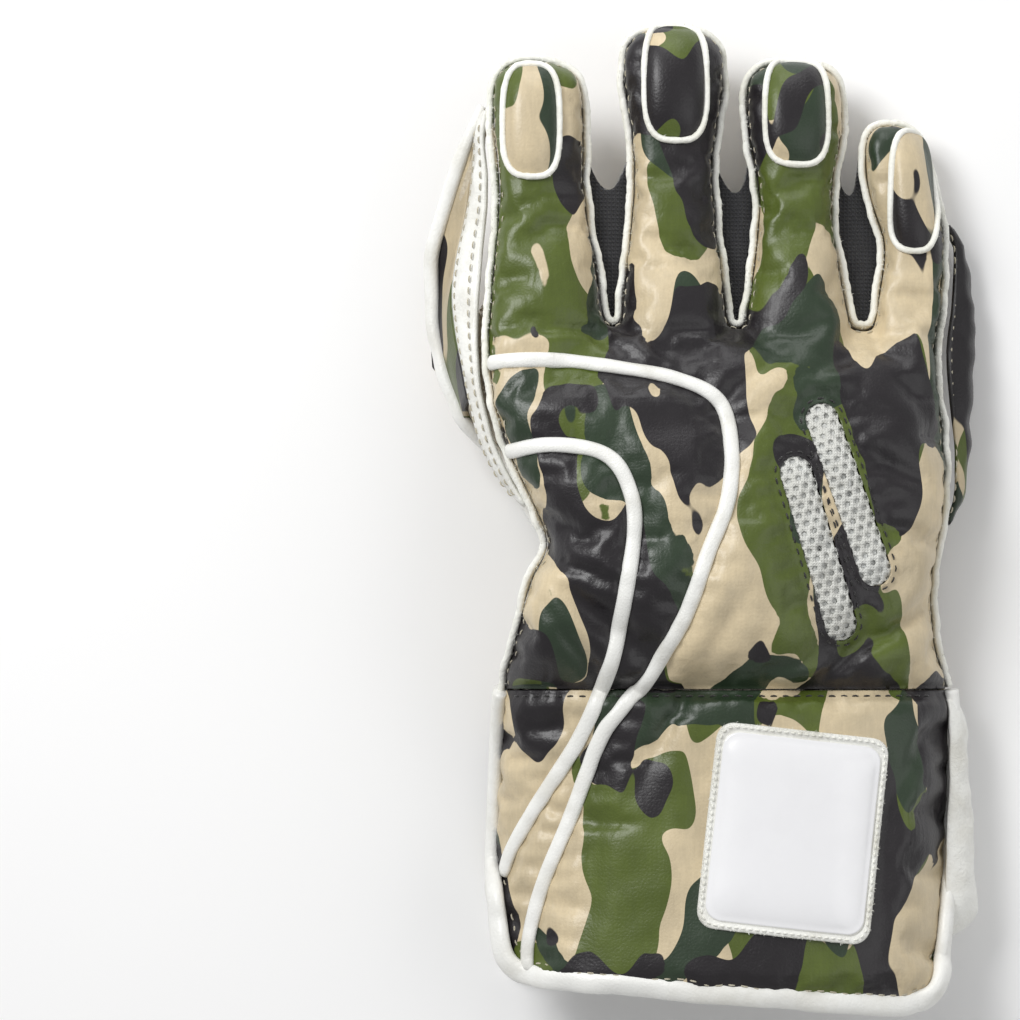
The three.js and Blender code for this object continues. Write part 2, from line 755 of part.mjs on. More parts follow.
const webGrid = Array.from({ length: webRows + 1 }, (_, i) => {
  const share = i / webRows;
  const gridRow = webFirstRow + share * (indexGrid.length - 1 - webFirstRow);
  const low = indexGrid[Math.floor(gridRow)][2];
  const high = indexGrid[Math.min(Math.ceil(gridRow), indexGrid.length - 1)][2];
  const top = low.clone().lerp(high, gridRow % 1);
  top.x -= webHeadOut;
  top.z -= sideWall;
  const foot = thumbEdge(THREE.MathUtils.lerp(webThumbFrom, webThumbTo, share), webFootOut, webFootUp);
  return Array.from({ length: webCols + 1 }, (__, j) => {
    const across = j / webCols;
    const point = top.clone().lerp(foot, across);
    point.x -= (0.5 + 0.5 * share) * webBulge * Math.sin(Math.PI * across);
    return point;
  });
});

const indexSideClear = sheet(indexGrid, sideWall + 2 * gap, -gap);

function webLayer(offset) {
  return mainBody(sheet(webGrid, webWall, offset)
    .subtract(thumbClear).subtract(palmClear).subtract(weltClear).subtract(indexSideClear));
}

const webBack = webLayer(0);
const webFacing = webLayer(-webWall - gap);

// Where the binding runs on along the thumb: shares of its length and millimetres over its middle
const webBindingFeet = [
  { share: 0.97, up: 1 },
  { share: 0.88, up: 0 },
  { share: 0.78, up: 0 },
  { share: 0.66, up: 0 },
  { share: 0.52, up: 0 },
  { share: 0.38, up: 0 },
];

const webBindingRoute = [
  ...webGrid[webRows].slice(0, webCols).map((point, j) => {
    const before = webGrid[webRows - 1][j];
    const out = point.clone().sub(before).normalize();
    return point.clone().addScaledVector(out, webBindingWidth / 2 + 3 * gap);
  }),
  ...webBindingFeet.map(({ share, up }) => thumbEdge(share, webBindingWidth / 2 + 2 * gap, up)),
];

function cordAlong(points, diameter, steps) {
  const shape = new THREE.Shape();
  shape.absarc(0, 0, diameter / 2, 0, 2 * Math.PI);
  const geometry = new THREE.ExtrudeGeometry(shape, {
    extrudePath: new THREE.CatmullRomCurve3(points),
    steps,
    curveSegments: 3,
    bevelEnabled: false,
  });
  return toSolid(geometry);
}

// The same grid with its outer rows and columns moved out, to clear a neighbour past the edges
function widened(grid, by) {
  const past = (end, inner) => end.clone().addScaledVector(end.clone().sub(inner).normalize(), by);
  const rows = grid.map((row) => {
    const last = row.length - 1;
    return [past(row[0], row[1]), ...row.slice(1, last), past(row[last], row[last - 1])];
  });
  const last = rows.length - 1;
  return [
    rows[0].map((point, j) => past(point, rows[1][j])),
    ...rows.slice(1, last),
    rows[last].map((point, j) => past(point, rows[last - 1][j])),
  ];
}

const webClear = sheet(widened(webGrid, 4 * gap), 2 * webWall + 3 * gap, -webWall - 2 * gap);
const webBindingSteps = 16;
const webBindingClear = union([webClear, thumbClear, palmClear, indexSideClear, weltClear]);
const webBinding = mainBody(cordAlong(webBindingRoute, webBindingWidth, webBindingSteps)
  .subtract(webBindingClear));

// Pieces of the back

const plan = slab(0, -skyHeight, skyHeight);
const backShell = layer(1, 0, -wall);
const palmShell = layer(-1, 0, -wall);
const cuffInner = cuffPlan(bindingWidth, cuffDepth - gap / 2);
const cuffClear = cuffPlan(bindingWidth - gap, cuffDepth + gap);
const cuffOuter = cuffPlan(0, cuffDepth - gap / 2);

function ventPill(vent, grow) {
  const [from, to] = [vent.from, vent.to].map(([share, station]) => (
    new THREE.Vector2(share * halfKnuckles, yAt(station))));
  return prism(pillOutline(from, to, ventWidth + 2 * grow), -skyHeight, skyHeight);
}

const ventHoles = union(vents.map((vent) => ventPill(vent, gap)));
const handBack = backShell.intersect(slice(cuffDepth + gap / 2, farReach)).subtract(ventHoles);
const cuffBack = backShell.intersect(cuffInner);
const bindingLayer = (side) => layer(side, bindingSwell, -wall - bindingSwell);
const cuffBackBinding = bindingLayer(1).intersect(cuffOuter).subtract(cuffClear);

const palmCut = cuffDepth - palmFacingOverlap;
const palmFacing = palmShell.intersect(slice(palmCut + gap / 2, farReach)).subtract(thumbInner);
const palmCuffLimit = slice(-farReach, palmCut - gap / 2);
const cuffPalm = palmShell.intersect(cuffInner).intersect(palmCuffLimit);
const cuffPalmBinding = bindingLayer(-1).intersect(cuffOuter).subtract(cuffClear).intersect(palmCuffLimit);

function overlay(outline, height) {
  return layer(1, gap + height, gap).intersect(prism(outline, -skyHeight, skyHeight)).intersect(plan);
}

const cuffSide = slice(-farReach, cuffDepth + gap).subtract(cuffClear);
const pipingSteps = 18;

function piping(route) {
  const points = routePoints(route, pipingSteps);
  return mainBody(overlay(stripOutline(points, pipingWidth), pipingHeight).subtract(cuffSide));
}

const nailCurve = 3.2;

function nailOutline(finger, grow) {
  const { nail } = finger;
  const y = crotchY + finger.length - nail.fromTip - nail.length / 2;
  const along = (y - crotchY) / finger.length;
  const x = fingerCentre(finger, along) + nail.shift;
  return ovalOutline(x, y, nail.width / 2 + grow, nail.length / 2 + grow, nailCurve);
}

function nailPiping(finger) {
  const inner = prism(nailOutline(finger, gap), -skyHeight, skyHeight);
  return mainBody(overlay(nailOutline(finger, gap + nailPipingWidth), nailPipingHeight).subtract(inner));
}

const patchCentre = new THREE.Vector2(patchPlace[0] * halfKnuckles, yAt(patchPlace[1]));

function patchOutline() {
  const turn = THREE.MathUtils.degToRad(patchTurn);
  const steps = 3;
  const outline = [];
  const corners = [[1, -1, -0.5], [1, 1, 0], [-1, 1, 0.5], [-1, -1, 1]];
  for (const [sx, sy, start] of corners) {
    for (let k = 0; k <= steps; k += 1) {
      const angle = Math.PI * (start + 0.5 * k / steps);
      const corner = new THREE.Vector2(
        sx * (patchWidth / 2 - patchCorner) + patchCorner * Math.cos(angle),
        sy * (patchLength / 2 - patchCorner) + patchCorner * Math.sin(angle),
      );
      corner.rotateAround(new THREE.Vector2(), turn).add(patchCentre);
      outline.push([corner.x, corner.y]);
    }
  }
  return outline;
}

// Black gussets: sunk plates that fill the gap between two stalls up to a hollowed edge. The root is
// a share of the palm's length, the hollow one of the gusset's reach
const gussetRoot = 0.2;
const gussetHollow = 0.3;

function fingerGusset(first, second) {
  const middleX = (first.rootX + second.rootX) / 2 * halfKnuckles;
  const half = (second.rootX - first.rootX) / 2 * halfKnuckles;
  const low = crotchY - gussetRoot * palmLength;
  const high = crotchY + gussetReach;
  const steps = 6;
  const outline = [[middleX - half, low], [middleX + half, low]];
  for (let k = 0; k <= steps; k += 1) {
    const across = 1 - 2 * k / steps;
    outline.push([middleX + half * across, high - gussetHollow * gussetReach * (1 - across * across)]);
  }
  const rings = Array.from({ length: steps + 1 }, (_, k) => {
    const y = low - gap + (high - low + 2 * gap) * k / steps;
    const [left, right] = [middleX - half - gap, middleX + half + gap];
    return [[left, gussetWall], [right, gussetWall], [right, 0], [left, 0]]
      .map(([x, down]) => new THREE.Vector3(x, y, seamAt(x, y) - gussetSink - down));
  });
  const plate = prism(outline, -skyHeight, skyHeight).intersect(loft(rings));
  const nails = union(fingers.map((finger) => (
    prism(nailOutline(finger, 2 * gap + nailPipingWidth), -skyHeight, skyHeight))));
  return mainBody(plate.subtract(palmClear).subtract(backClear).subtract(weltClear).subtract(nails));
}

// White gusset that stands out beside the cuff: its stations, its bend as a share of a half turn
// and the part of a wave that its bulge follows
const cuffGussetSpan = { from: -0.76, to: -0.04 };
const cuffGussetBend = 0.86;
const cuffGussetWave = { start: 0.16, span: 0.6 };
const cuffGussetRows = 7;
const cuffGussetCols = 5;

function cuffGusset() {
  const flat = Math.cos(Math.PI * cuffGussetBend / 2);
  const grid = Array.from({ length: cuffGussetRows + 1 }, (_, i) => {
    const share = i / cuffGussetRows;
    const station = THREE.MathUtils.lerp(cuffGussetSpan.from, cuffGussetSpan.to, share);
    const y = yAt(station);
    const edge = handEdge(station, 'right') + shellInset + bindingSwell + 2 * gap;
    const wave = cuffGussetWave.start + cuffGussetWave.span * (1 - share);
    const bulge = cuffGussetBulge * Math.sin(Math.PI * wave);
    return Array.from({ length: cuffGussetCols + 1 }, (__, j) => {
      const angle = Math.PI * (j / cuffGussetCols - 0.5) * cuffGussetBend;
      return new THREE.Vector3(
        edge + bulge * (Math.cos(angle) - flat) / (1 - flat),
        y,
        seamAt(edge, y) + cuffGussetHeight / 2 * Math.sin(angle),
      );
    });
  });
  const clear = union([1, -1].map((side) => volume(side, bindingSwell + gap)));
  return mainBody(sheet(grid, -sideWall, -sideWall).subtract(clear));
}

// Colours and finishes
const finishes = {
  print: { color: 0x59643a, roughness: 0.5 },
  printDark: { color: 0x3a4236, roughness: 0.5 },
  rubber: { color: 0xc9c0ae, roughness: 0.75 },
  rubberPale: { color: 0xe0dccf, roughness: 0.7 },
  whiteLeather: { color: 0xe9e9e4, roughness: 0.45 },
  rawLeather: { color: 0xdcdccb, roughness: 0.85 },
  blackCloth: { color: 0x1f2026, roughness: 0.7 },
  whiteMesh: { color: 0xe6e6e2, roughness: 0.8 },
  gloss: { color: 0xf2f2f2, roughness: 0.2 },
};

const glove = new THREE.Group();

function add(name, solid, finish) {
  const material = new THREE.MeshStandardMaterial({ ...finishes[finish], metalness: 0 });
  const mesh = new THREE.Mesh(toGeometry(solid), material);
  mesh.name = name;
  glove.add(mesh);
}

const everywhere = [[-1, -1], [1, -1], [1, 1], [-1, 1]].map(([x, y]) => [x * farReach, y * farReach]);
const above = prism(everywhere, thumbSplit + gap / 2, skyHeight);
const below = prism(everywhere, -skyHeight, thumbSplit - gap / 2);

add('hand_back', mainBody(handBack), 'print');
add('palm_facing', mainBody(palmFacing), 'rubber');
add('cuff_back', mainBody(cuffBack), 'print');
add('cuff_palm', mainBody(cuffPalm), 'print');
add('cuff_back_binding', mainBody(cuffBackBinding), 'whiteLeather');
add('cuff_palm_binding', mainBody(cuffPalmBinding), 'whiteLeather');
add('cuff_gusset', cuffGusset(), 'whiteLeather');
add('edge_welt', mainBody(edgeWelt), 'rawLeather');
add('piping_upper', piping(upperPipingRoute), 'whiteLeather');
add('piping_lower', piping(lowerPipingRoute), 'whiteLeather');
add('patch', mainBody(overlay(patchOutline(), patchHeight)), 'gloss');
for (const vent of vents) {
  add(vent.name, layer(1, ventSwell, -wall).intersect(ventPill(vent, 0)), 'whiteMesh');
}
for (const finger of fingers) {
  add(`nail_pad_${finger.name}`, mainBody(overlay(nailOutline(finger, 0), nailPadHeight)), 'print');
  add(`nail_piping_${finger.name}`, nailPiping(finger), 'whiteLeather');
}
for (let k = 0; k + 1 < fingers.length; k += 1) {
  const [first, second] = [fingers[k], fingers[k + 1]];
  add(`gusset_${first.name}_${second.name}`, fingerGusset(first, second), 'blackCloth');
}
add('index_side', mainBody(indexSide), 'whiteLeather');
add('little_side', mainBody(littleSide), 'printDark');
add('thumb_gusset', mainBody(thumbShell(thumbStart, thumbCollarEnd - thumbSeam)), 'whiteLeather');
const thumbStall = thumbShell(thumbCollarEnd + thumbSeam, 1);
add('thumb_facing', mainBody(thumbStall.intersect(above)), 'rubberPale');
add('thumb_back', mainBody(thumbStall.intersect(below)), 'printDark');
add('web_back', webBack, 'printDark');
add('web_facing', webFacing, 'rubber');
add('web_binding', webBinding, 'whiteLeather');

// The origin sits under the middle of the glove, on the surface that it lies on
const extent = new THREE.Box3().setFromObject(glove);
const middle = extent.getCenter(new THREE.Vector3());
glove.position.set(-middle.x, -middle.y, -extent.min.z);

export default glove;
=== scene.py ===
import math
import random

import bmesh
import bpy
import numpy as np
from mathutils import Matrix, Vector, noise
from mathutils.bvhtree import BVHTree
from mathutils.kdtree import KDTree


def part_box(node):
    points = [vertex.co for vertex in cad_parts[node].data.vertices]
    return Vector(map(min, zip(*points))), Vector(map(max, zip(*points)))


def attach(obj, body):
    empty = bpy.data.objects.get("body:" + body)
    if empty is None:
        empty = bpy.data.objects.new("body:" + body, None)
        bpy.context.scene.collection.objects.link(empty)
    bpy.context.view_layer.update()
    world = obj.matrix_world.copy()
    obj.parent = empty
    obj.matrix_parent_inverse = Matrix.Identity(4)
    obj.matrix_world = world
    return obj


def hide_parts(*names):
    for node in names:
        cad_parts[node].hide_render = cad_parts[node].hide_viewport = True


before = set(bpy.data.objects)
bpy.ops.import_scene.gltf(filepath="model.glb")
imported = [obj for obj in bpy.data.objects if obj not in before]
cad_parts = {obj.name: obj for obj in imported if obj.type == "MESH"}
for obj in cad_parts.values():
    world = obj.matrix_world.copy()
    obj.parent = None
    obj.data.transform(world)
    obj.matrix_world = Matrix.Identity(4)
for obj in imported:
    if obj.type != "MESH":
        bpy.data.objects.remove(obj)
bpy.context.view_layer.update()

print("stage: frame loaded", flush=True)

# Sizes of the glove in millimetres, from its cuff's mouth
glove = {
    "cuffDepth": 93, "palmLength": 104.5, "fingerReach": 89.5, "cuffWidth": 138, "knuckleWidth": 143,
    "seamHeight": 15, "backRise": 27, "palmArch": 6, "indexLift": 31, "wall": 2.2, "liftEdge": 0.8,
    "edgeInset": 2.3, "palmPress": 1.05, "handCurve": 2.5, "palmCurve": 3.2, "fingerCurve": 2.7,
    "tipCurve": 3, "fingerTipRound": 12, "mouthSlant": 8, "cuffCorner": 13, "palmStart": 80,
    "mouthLeft": 67.4, "liftMost": 1.2, "wristSpan": (-70, 68),
}
halfKnuckles = glove["knuckleWidth"] / 2
crotchY = glove["cuffDepth"] + glove["palmLength"]
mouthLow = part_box("cuff_back_binding")[0]
shift = np.array([mouthLow[0] * 1000 + glove["mouthLeft"], mouthLow[1] * 1000, 0.0])


def table(names, *rows):
    return {name: np.array([row[k] for row in rows], float) for k, name in enumerate(names.split())}


handRows = table(
    "at left right rise drop arch lift",
    (-1, -1.0, 0.945, 1.2, 1, 0, 0),
    (-0.55, -1.0, 0.955, 1.15, 1, 0, 0),
    (-0.25, -0.985, 0.975, 1.06, 1, 0, 0.12),
    (0, -0.965, 0.965, 0.94, 1, 0.2, 0.5),
    (0.12, -0.925, 0.91, 0.98, 1, 0.6, 0.78),
    (0.3, -0.845, 0.885, 1.0, 1, 1, 0.97),
    (0.4, -0.775, 0.91, 0.98, 1, 1, 1),
    (0.52, -0.84, 0.93, 0.94, 1, 1, 1),
    (0.66, -0.93, 0.93, 0.86, 1, 1, 1),
    (0.82, -0.985, 0.9, 0.66, 0.98, 0.85, 1),
    (0.94, -1.0, 0.885, 0.42, 0.95, 0.6, 1),
    (1, -1.0, 0.88, 0.2, 0.92, 0.4, 1),
    (1.3, -1.0, 0.9, 0.4, 0.86, 0, 0.98),
    (2, -1.0, 0.9, 0.4, 0.8, 0, 0.9),
)
palmEndRows = table("at depth", (0.76, 1), (0.87, 0.93), (0.95, 0.8), (1, 0.6))
palmRootRows = table("at depth", (-0.42, 0.8), (-0.25, 0.88), (0, 1))
fingers = {
    "index": {
        "rootX": -0.73, "tipX": -0.777, "length": 78.5, "width": 30, "rise": 11.5,
        "nailWidth": 14, "nailLength": 31, "nailShift": -2.2, "nailFromTip": 4.5,
        "rows": table(
            "at width rise shift", (-0.3, 1.24, 1.05, 0), (0, 1.24, 1.0, 0), (0.25, 1.1, 0.95, 0),
            (0.5, 0.95, 0.92, 0), (0.78, 1.0, 1.0, 0), (1, 0.97, 0.94, 0),
        ),
    },
    "middle": {
        "rootX": -0.217, "tipX": -0.217, "length": 89.5, "width": 32.8, "rise": 12,
        "nailWidth": 16, "nailLength": 33, "nailShift": 0.2, "nailFromTip": 2,
        "rows": table(
            "at width rise shift", (-0.27, 1.08, 1.05, 0), (0, 1.08, 1.0, 0), (0.3, 0.9, 0.94, 0),
            (0.55, 0.82, 0.9, 0), (0.8, 1.0, 1.0, 0), (1, 0.98, 0.94, 0),
        ),
    },
    "ring": {
        "rootX": 0.292, "tipX": 0.28, "length": 80.5, "width": 32, "rise": 12,
        "nailWidth": 16.4, "nailLength": 29.5, "nailShift": 0, "nailFromTip": 2.5,
        "rows": table(
            "at width rise shift", (-0.3, 1.14, 1.05, 0), (0, 1.1, 1.0, 0), (0.25, 0.9, 0.94, 0),
            (0.5, 0.8, 0.9, 0), (0.76, 1.0, 1.0, 0), (1, 0.98, 0.94, 0),
        ),
    },
    "little": {
        "rootX": 0.72, "tipX": 0.7, "length": 63, "width": 23.4, "rise": 10.5,
        "nailWidth": 12, "nailLength": 34, "nailShift": 4.4, "nailFromTip": 5,
        "rows": table(
            "at width rise shift", (-0.42, 1.06, 1.15, 0), (-0.1, 1.0, 1.1, 0), (0.15, 0.96, 1.0, 0.12),
            (0.42, 0.92, 0.94, 0.2), (0.66, 1.0, 1.0, 0.06), (1, 0.9, 0.9, -0.04),
        ),
    },
}
fingerNames = list(fingers)

# Folds and dents: x as a share of half the knuckle width, station, reaches, turn and depth in mm
backFolds = [
    (0, 0, 90, 3, 0, 2.0), (-0.52, 0.2, 26, 5, -38, 3), (-0.25, -0.12, 20, 4, 62, 1.8),
    (0.7, 0.2, 20, 6, 20, 2.4), (-0.1, 0.72, 46, 6, 6, 1.4),
    (-0.62, 0.33, 14, 2.6, -20, 1.6), (-0.6, 0.1, 16, 2.4, -55, 1.5), (-0.36, 0.42, 9, 3, 80, 1.1),
    (0.2, 0.08, 22, 3, 12, 1.3), (0.5, 0.1, 18, 2.6, 34, 1.4), (-0.02, 0.2, 14, 3, 60, 1.2),
    (0.78, 0.42, 12, 3, -16, 1.3), (0.62, 0.62, 16, 3, -30, 1.1), (-0.55, -0.55, 26, 4, 84, 1.4),
    (-0.12, -0.4, 28, 5, 86, 1.3), (0.6, -0.5, 30, 5, 88, 1.6), (0.75, -0.2, 14, 3, 60, 1.3),
    (0.1, 0.86, 16, 3, 40, 1.1), (-0.45, 0.93, 12, 3, -30, 1.0), (0.45, 0.9, 12, 3, 20, 1.0),
]
palmFolds = [
    (-0.1, 0.86, 48, 4, -8, 2.6), (0.1, 0.6, 44, 4.5, 14, 3), (0.2, 0.3, 34, 5, 26, 2.6),
    (-0.2, 0.95, 34, 3, -4, 1.4), (0.3, 0.75, 30, 3, 20, 1.6), (0.35, 0.45, 26, 3.4, 30, 1.5),
]


def yAt(station):
    station = np.asarray(station, float)
    return np.where(
        station < 0, glove["cuffDepth"] * (1 + station),
        np.where(station < 1, glove["cuffDepth"] + glove["palmLength"] * station,
                 crotchY + glove["fingerReach"] * (station - 1)),
    )


def stationAt(y):
    y = np.asarray(y, float)
    return np.where(
        y < glove["cuffDepth"], y / glove["cuffDepth"] - 1,
        np.where(y < crotchY, (y - glove["cuffDepth"]) / glove["palmLength"],
                 1 + (y - crotchY) / glove["fingerReach"]),
    )


def column(rows, at, name):
    keys, values = rows["at"], rows[name]
    last = len(keys) - 1
    at = np.clip(at, keys[0], keys[last])
    upper = np.clip(np.searchsorted(keys, at, side="right"), 1, last)
    low = upper - 1
    before, after = np.maximum(upper - 2, 0), np.minimum(upper + 1, last)
    span = keys[upper] - keys[low]
    share = (at - keys[low]) / span
    slopeLow = span * (values[upper] - values[before]) / np.maximum(keys[upper] - keys[before], span)
    slopeHigh = span * (values[after] - values[low]) / np.maximum(keys[after] - keys[low], span)
    s2, s3 = share ** 2, share ** 3
    return ((2 * s3 - 3 * s2 + 1) * values[low] + (s3 - 2 * s2 + share) * slopeLow
            + (3 * s2 - 2 * s3) * values[upper] + (s3 - s2) * slopeHigh)


def handEdge(station, side):
    share = np.clip(station, 0, 1)
    width = glove["cuffWidth"] * (1 - share) + glove["knuckleWidth"] * share
    return column(handRows, station, side) * width / 2


def seamAt(x, y):
    station = stationAt(y)
    reach = (glove["liftEdge"] + 1) * halfKnuckles
    across = np.clip((glove["liftEdge"] * halfKnuckles - x) / reach, 0, glove["liftMost"])
    return (glove["palmArch"] * column(handRows, station, "arch")
            + glove["indexLift"] * across * column(handRows, station, "lift")
            + glove["seamHeight"] * column(handRows, station, "drop"))


def foldAt(folds, x, y):
    total = np.zeros_like(x)
    for place, station, reachX, reachY, turn, depth in folds:
        turn = math.radians(turn)
        dx = x - place * halfKnuckles
        dy = y - yAt(station)
        along = (dx * math.cos(turn) + dy * math.sin(turn)) / reachX
        across = (dy * math.cos(turn) - dx * math.sin(turn)) / reachY
        total += depth * np.exp(-along ** 2 - across ** 2)
    return total


def smoothStep(value, low, high):
    share = np.clip((value - low) / (high - low), 0, 1)
    return share * share * (3 - 2 * share)


def unit(rows):
    return rows / (np.linalg.norm(rows, axis=-1, keepdims=True) + 1e-9)


def rounded(value, power):
    return np.sign(value) * np.abs(value) ** (2 / power)


def toScene(points):
    return (np.asarray(points, float) + shift) / 1000


def meshObject(name, points, faces, smooth=True):
    mesh = bpy.data.meshes.new(name)
    mesh.from_pydata([tuple(p) for p in toScene(points)], [], [tuple(int(i) for i in face) for face in faces])
    mesh.update()
    if smooth:
        mesh.shade_smooth()
    obj = bpy.data.objects.new(name, mesh)
    bpy.context.scene.collection.objects.link(obj)
    return obj


def pointsOf(obj):
    flat = np.empty(len(obj.data.vertices) * 3)
    obj.data.vertices.foreach_get("co", flat)
    return flat.reshape(-1, 3) * 1000 - shift


def setPoints(obj, points):
    obj.data.vertices.foreach_set("co", toScene(points).ravel())
    obj.data.update()


def normalsOf(obj):
    flat = np.empty(len(obj.data.vertices) * 3)
    obj.data.vertices.foreach_get("normal", flat)
    return flat.reshape(-1, 3)


def applyModifiers(obj):
    graph = bpy.context.evaluated_depsgraph_get()
    mesh = bpy.data.meshes.new_from_object(obj.evaluated_get(graph), depsgraph=graph)
    old = obj.data
    obj.modifiers.clear()
    obj.data = mesh
    bpy.data.meshes.remove(old)
    obj.data.name = obj.name
    return obj


def outwards(obj):
    bm = bmesh.new()
    bm.from_mesh(obj.data)
    bmesh.ops.recalc_face_normals(bm, faces=bm.faces)
    bm.to_mesh(obj.data)
    bm.free()


def faceAlong(obj, direction):
    if (normalsOf(obj) @ np.array(direction, float)).sum() < 0:
        obj.data.flip_normals()


def ringFaces(rings, count, closeEnds=True):
    faces = []
    for ring in range(rings - 1):
        for k in range(count):
            a, b = ring * count + k, ring * count + (k + 1) % count
            faces.append((a, b, b + count, a + count))
    if closeEnds:
        faces.append(tuple(range(count))[::-1])
        faces.append(tuple((rings - 1) * count + k for k in range(count)))
    return faces


# Domes of the hand and the fingers over the flat of the seam
dome = {"arcSteps": 56, "fingerSteps": 40, "skirt": 5.0, "base": 0.5, "voxel": 1.15, "quickScale": 1.6,
        "blend": 7, "blendFactor": 0.5, "handFrom": -1.06, "handRings": 84, "fingerRings": 26,
        "tipRings": 12, "tipEnd": 0.995}


def archRing(left, right, y, rise, curve, side, steps):
    angle = np.pi * np.arange(steps + 1) / steps
    across = rounded(np.cos(angle), curve)
    up = np.abs(np.sin(angle)) ** (2 / curve)
    x = (left + right) / 2 + (right - left) / 2 * across
    w = side * (dome["base"] + rise * up)
    ends = [[left, y, -side * dome["skirt"]], [right, y, -side * dome["skirt"]]]
    return np.vstack([np.column_stack([x, np.full_like(x, y), w]), ends])


def fingerEdges(finger, along):
    rows = finger["rows"]
    centre = (finger["rootX"] * (1 - along) + finger["tipX"] * along) * halfKnuckles
    centre = centre + column(rows, along, "shift") * finger["width"]
    return centre, column(rows, along, "width") * finger["width"] / 2


def fingerStations(finger):
    start = 1 - glove["fingerTipRound"] / finger["length"]
    low = finger["rows"]["at"][0]
    stations = [(along, 1.0) for along in np.linspace(low, start, dome["fingerRings"], endpoint=False)]
    for share in np.sin(np.linspace(0, 0.5, dome["tipRings"]) * np.pi) * dome["tipEnd"]:
        along = start + share * (1 - start)
        stations.append((along, (1 - share ** glove["tipCurve"]) ** (1 / glove["tipCurve"])))
    return stations


def domeRings(side):
    inset = glove["edgeInset"]
    hand = []
    for station in np.linspace(dome["handFrom"], 1, dome["handRings"]):
        if side > 0:
            rise = glove["backRise"] * column(handRows, station, "rise")
        else:
            rise = (glove["seamHeight"] * glove["palmPress"] * column(handRows, station, "drop")
                    * column(palmEndRows, station, "depth"))
        hand.append(archRing(
            handEdge(station, "left") + inset, handEdge(station, "right") - inset, float(yAt(station)),
            rise, glove["handCurve"] if side > 0 else glove["palmCurve"], side, dome["arcSteps"],
        ))
    lofts = [hand]
    for finger in fingers.values():
        stall = []
        for along, taper in fingerStations(finger):
            centre, half = fingerEdges(finger, along)
            y = crotchY + along * finger["length"] - inset * max(0, along) ** 3
            inner = (half - inset) * taper
            if side > 0:
                rise = finger["rise"] * column(finger["rows"], along, "rise")
            else:
                rise = (glove["seamHeight"] * glove["palmPress"] * column(handRows, stationAt(y), "drop")
                        * column(palmRootRows, along, "depth"))
            stall.append(archRing(centre - inner, centre + inner, y, rise * taper,
                                  glove["fingerCurve"] if side > 0 else glove["palmCurve"], side,
                                  dome["fingerSteps"]))
        lofts.append(stall)
    return lofts


def blendedDome(name, side, voxel):
    points, faces = [], []
    for rings in domeRings(side):
        base = sum(len(block) for block in points)
        points.append(np.vstack(rings))
        faces += [[base + i for i in face] for face in ringFaces(len(rings), len(rings[0]))]
    obj = meshObject(name, np.vstack(points), faces)
    outwards(obj)
    remesh = obj.modifiers.new("remesh", "REMESH")
    remesh.mode = "VOXEL"
    remesh.voxel_size = voxel / 1000
    smooth = obj.modifiers.new("smooth", "SMOOTH")
    smooth.factor = dome["blendFactor"]
    smooth.iterations = dome["blend"]
    return applyModifiers(obj)


def cutPlane(obj, point, normal):
    bm = bmesh.new()
    bm.from_mesh(obj.data)
    geometry = bm.verts[:] + bm.edges[:] + bm.faces[:]
    bmesh.ops.bisect_plane(bm, geom=geometry, dist=1e-6, plane_co=Vector(toScene([point])[0]),
                           plane_no=Vector(normal), clear_outer=True)
    bm.to_mesh(obj.data)
    bm.free()
    obj.data.update()


def crumple(x, y, z, reach, amount, seed):
    return np.array([
        noise.noise(Vector((a / reach + seed, b / reach - seed, c / reach))) for a, b, c in zip(x, y, z)
    ]) * amount


# The back as one skin, then cut at the wrist into the hand and the cuff
back = {"seamRise": 0.4, "foldFrom": 1.0, "foldFull": 8.0, "foldScale": 1.35, "crumpleReach": 16,
        "crumpleDepth": 1.15, "crumpleRun": 0.6, "crumpleSeed": 3.1, "fine": 0.3, "fineReach": 7,
        "fineSeed": 8.2}


def backHeights(obj):
    points = pointsOf(obj)
    x, y, w = points.T
    weight = smoothStep(w, back["foldFrom"], back["foldFull"])
    w = w - foldAt(backFolds, x, y) * weight * back["foldScale"]
    w += weight * crumple(x, y * back["crumpleRun"], w, back["crumpleReach"], back["crumpleDepth"],
                          back["crumpleSeed"])
    w += weight * crumple(x, y, w, back["fineReach"], back["fine"], back["fineSeed"])
    points[:, 2] = seamAt(x, y) + w
    setPoints(obj, points)


fineVoxel = dome["voxel"] * 1
backSkin = blendedDome("back_skin", 1, fineVoxel)
cutPlane(backSkin, (0, 0, back["seamRise"]), (0, 0, -1))
backHeights(backSkin)
print("stage: back skin", len(backSkin.data.vertices), flush=True)

palm = {"seamDrop": 0.4, "foldFrom": 1.0, "foldFull": 6.0, "crumpleReach": 14, "crumpleDepth": 0.5,
        "crumpleSeed": 5.7, "lowest": 0.05}


def palmHeights(obj):
    points = pointsOf(obj)
    x, y, w = points.T
    weight = smoothStep(-w, palm["foldFrom"], palm["foldFull"])
    w = w + foldAt(palmFolds, x, y) * weight
    w += weight * crumple(x, y, w, palm["crumpleReach"], palm["crumpleDepth"], palm["crumpleSeed"])
    points[:, 2] = np.maximum(seamAt(x, y) + w, palm["lowest"])
    setPoints(obj, points)


palmSkin = blendedDome("palm_skin", -1, fineVoxel)
cutPlane(palmSkin, (0, 0, -palm["seamDrop"]), (0, 0, 1))
palmHeights(palmSkin)
print("stage: palm skin", len(palmSkin.data.vertices), flush=True)


# Paths and sweeps
def lengthsOf(path):
    return np.concatenate([[0], np.cumsum(np.linalg.norm(np.diff(path, axis=0), axis=1))])


def pathAt(path, lengths, at):
    return np.stack([np.interp(at, lengths, values) for values in path.T], axis=-1)


